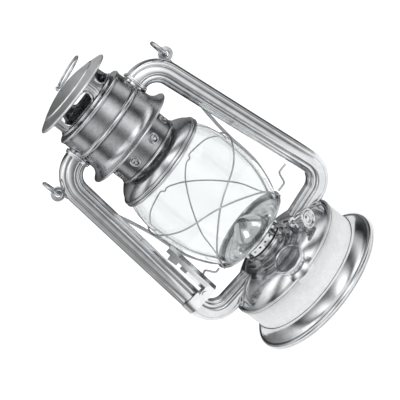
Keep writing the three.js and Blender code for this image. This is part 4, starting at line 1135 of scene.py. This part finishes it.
class LANTERN_OT_stage(bpy.types.Operator):
    """Lays the pale floor, the reflection tent, the soft lights and the camera"""

    bl_idname = "lantern.stage"
    bl_label = "Stage"

    def execute(self, context):
        scene = context.scene
        ground, _, shader = new_material("pale_floor")
        shader.inputs["Base Color"].default_value = (*colours().floor, 1)
        shader.inputs["Roughness"].default_value = 0.9
        shader.inputs["Specular IOR Level"].default_value = 0.1
        reach, top, under = 9000, -0.2, -2
        floor = turned("floor", [(0, top), (reach, top), (reach, under), (0, under)], around=64)
        floor.data.materials.append(ground)

        # A studio tent that only the reflections see: soft bands of light and dark all round.
        near, low, high = 290, -40, 900
        skin = [(near, low), (near, high), (near + 1, high), (near + 1, low)]
        tent = turned("reflection_tent", skin, around=96)
        glow, tree, _ = new_material("tent_bands")
        place = add_node(tree, "ShaderNodeTexCoord").outputs["Object"]
        round_share = add_node(
            tree, "ShaderNodeTexGradient", {"Vector": place}, gradient_type="RADIAL").outputs["Fac"]
        bands = add_node(tree, "ShaderNodeValToRGB", {"Fac": round_share})
        ramp = bands.color_ramp
        ramp.interpolation = "EASE"
        # Shares of a turn from the back's left, with the front at a quarter, and how bright the tent is.
        tones = [(0.0, 1.0), (0.06, 0.1), (0.15, 0.95), (0.235, 0.3), (0.32, 1.6), (0.415, 0.08), (0.5, 1.1),
                 (0.58, 0.03), (0.7, 0.35), (0.79, 0.02), (0.89, 0.4), (1.0, 1.0)]
        while len(ramp.elements) < len(tones):
            ramp.elements.new(0.5)
        for element, (share, tone) in zip(ramp.elements, tones):
            element.position = share
            element.color = (tone, tone, tone, 1)
        height = add_node(tree, "ShaderNodeSeparateXYZ", {0: place}).outputs["Z"]
        upward = add_node(tree, "ShaderNodeMapRange", {
            "Value": height, "From Min": 0.1, "From Max": 0.45, "To Min": 0.75, "To Max": 2.0}).outputs[0]
        light = add_node(tree, "ShaderNodeEmission", {"Color": bands.outputs["Color"], "Strength": upward})
        out = next(n for n in tree.nodes if n.type == "OUTPUT_MATERIAL")
        tree.links.new(light.outputs[0], out.inputs["Surface"])
        tent.data.materials.append(glow)
        for ray in ("camera", "diffuse", "transmission", "shadow", "volume_scatter"):
            setattr(tent, f"visible_{ray}", False)

        world = bpy.data.worlds.new("studio")
        scene.world = world
        world.use_nodes = True
        back = next(n for n in world.node_tree.nodes if n.type == "BACKGROUND")
        back.inputs["Color"].default_value = (1, 1, 1, 1)
        back.inputs["Strength"].default_value = 1.15
        softbox("key", (-0.9, -0.9, 1.3), (0, 0, 0.12), (0.9, 0.9), 9)
        softbox("fill", (1.1, -0.5, 0.8), (0, 0, 0.12), (0.6, 1.0), 4)
        scene.view_settings.view_transform = "Standard"

        lens = bpy.data.cameras.new("camera")
        lens.lens = 90
        lens.sensor_width = 36
        lens.clip_end = 50
        camera = placed("camera", lens)
        elevation, distance = radians(16.15), 0.714
        aim = Vector((-0.0046, 0, 0.1092))
        camera.location = aim + distance * Vector((0, -cos(elevation), sin(elevation)))
        level = (aim - camera.location).to_track_quat("-Z", "Y")
        roll = Matrix.Rotation(radians(-52.56), 4, "Z").to_quaternion()
        camera.rotation_euler = (level @ roll).to_euler()
        scene.camera = camera
        return {"FINISHED"}


class LANTERN_PT_panel(bpy.types.Panel):
    """Lists the lantern's pieces"""

    bl_idname = "LANTERN_PT_panel"
    bl_label = "Barn Lantern"
    bl_space_type = "VIEW_3D"
    bl_region_type = "UI"
    bl_category = "Lantern"

    def draw(self, context):
        for group in (context.scene.lantern_sizes, context.scene.lantern_colours):
            for name in group.bl_rna.properties.keys():
                if name not in ("rna_type", "name"):
                    self.layout.prop(group, name)
        for piece in PIECES:
            self.layout.operator(piece.bl_idname)


PIECES = (
    LANTERN_OT_stage, LANTERN_OT_fount, LANTERN_OT_filler, LANTERN_OT_burner, LANTERN_OT_winder,
    LANTERN_OT_globe, LANTERN_OT_wires, LANTERN_OT_chimney, LANTERN_OT_crown, LANTERN_OT_hood,
    LANTERN_OT_tubes, LANTERN_OT_bail, LANTERN_OT_spring, LANTERN_OT_lever, LANTERN_OT_inner,
)
CLASSES = (LanternSizes, LanternColours, *PIECES, LANTERN_PT_panel)


def register():
    for one in CLASSES:
        bpy.utils.register_class(one)
    bpy.types.Scene.lantern_sizes = bpy.props.PointerProperty(type=LanternSizes)
    bpy.types.Scene.lantern_colours = bpy.props.PointerProperty(type=LanternColours)


def unregister():
    del bpy.types.Scene.lantern_colours
    del bpy.types.Scene.lantern_sizes
    for one in reversed(CLASSES):
        bpy.utils.unregister_class(one)


def main():
    register()
    for piece in PIECES:
        group, name = piece.bl_idname.split(".")
        getattr(getattr(bpy.ops, group), name)()


if __name__ == "__main__":
    main()
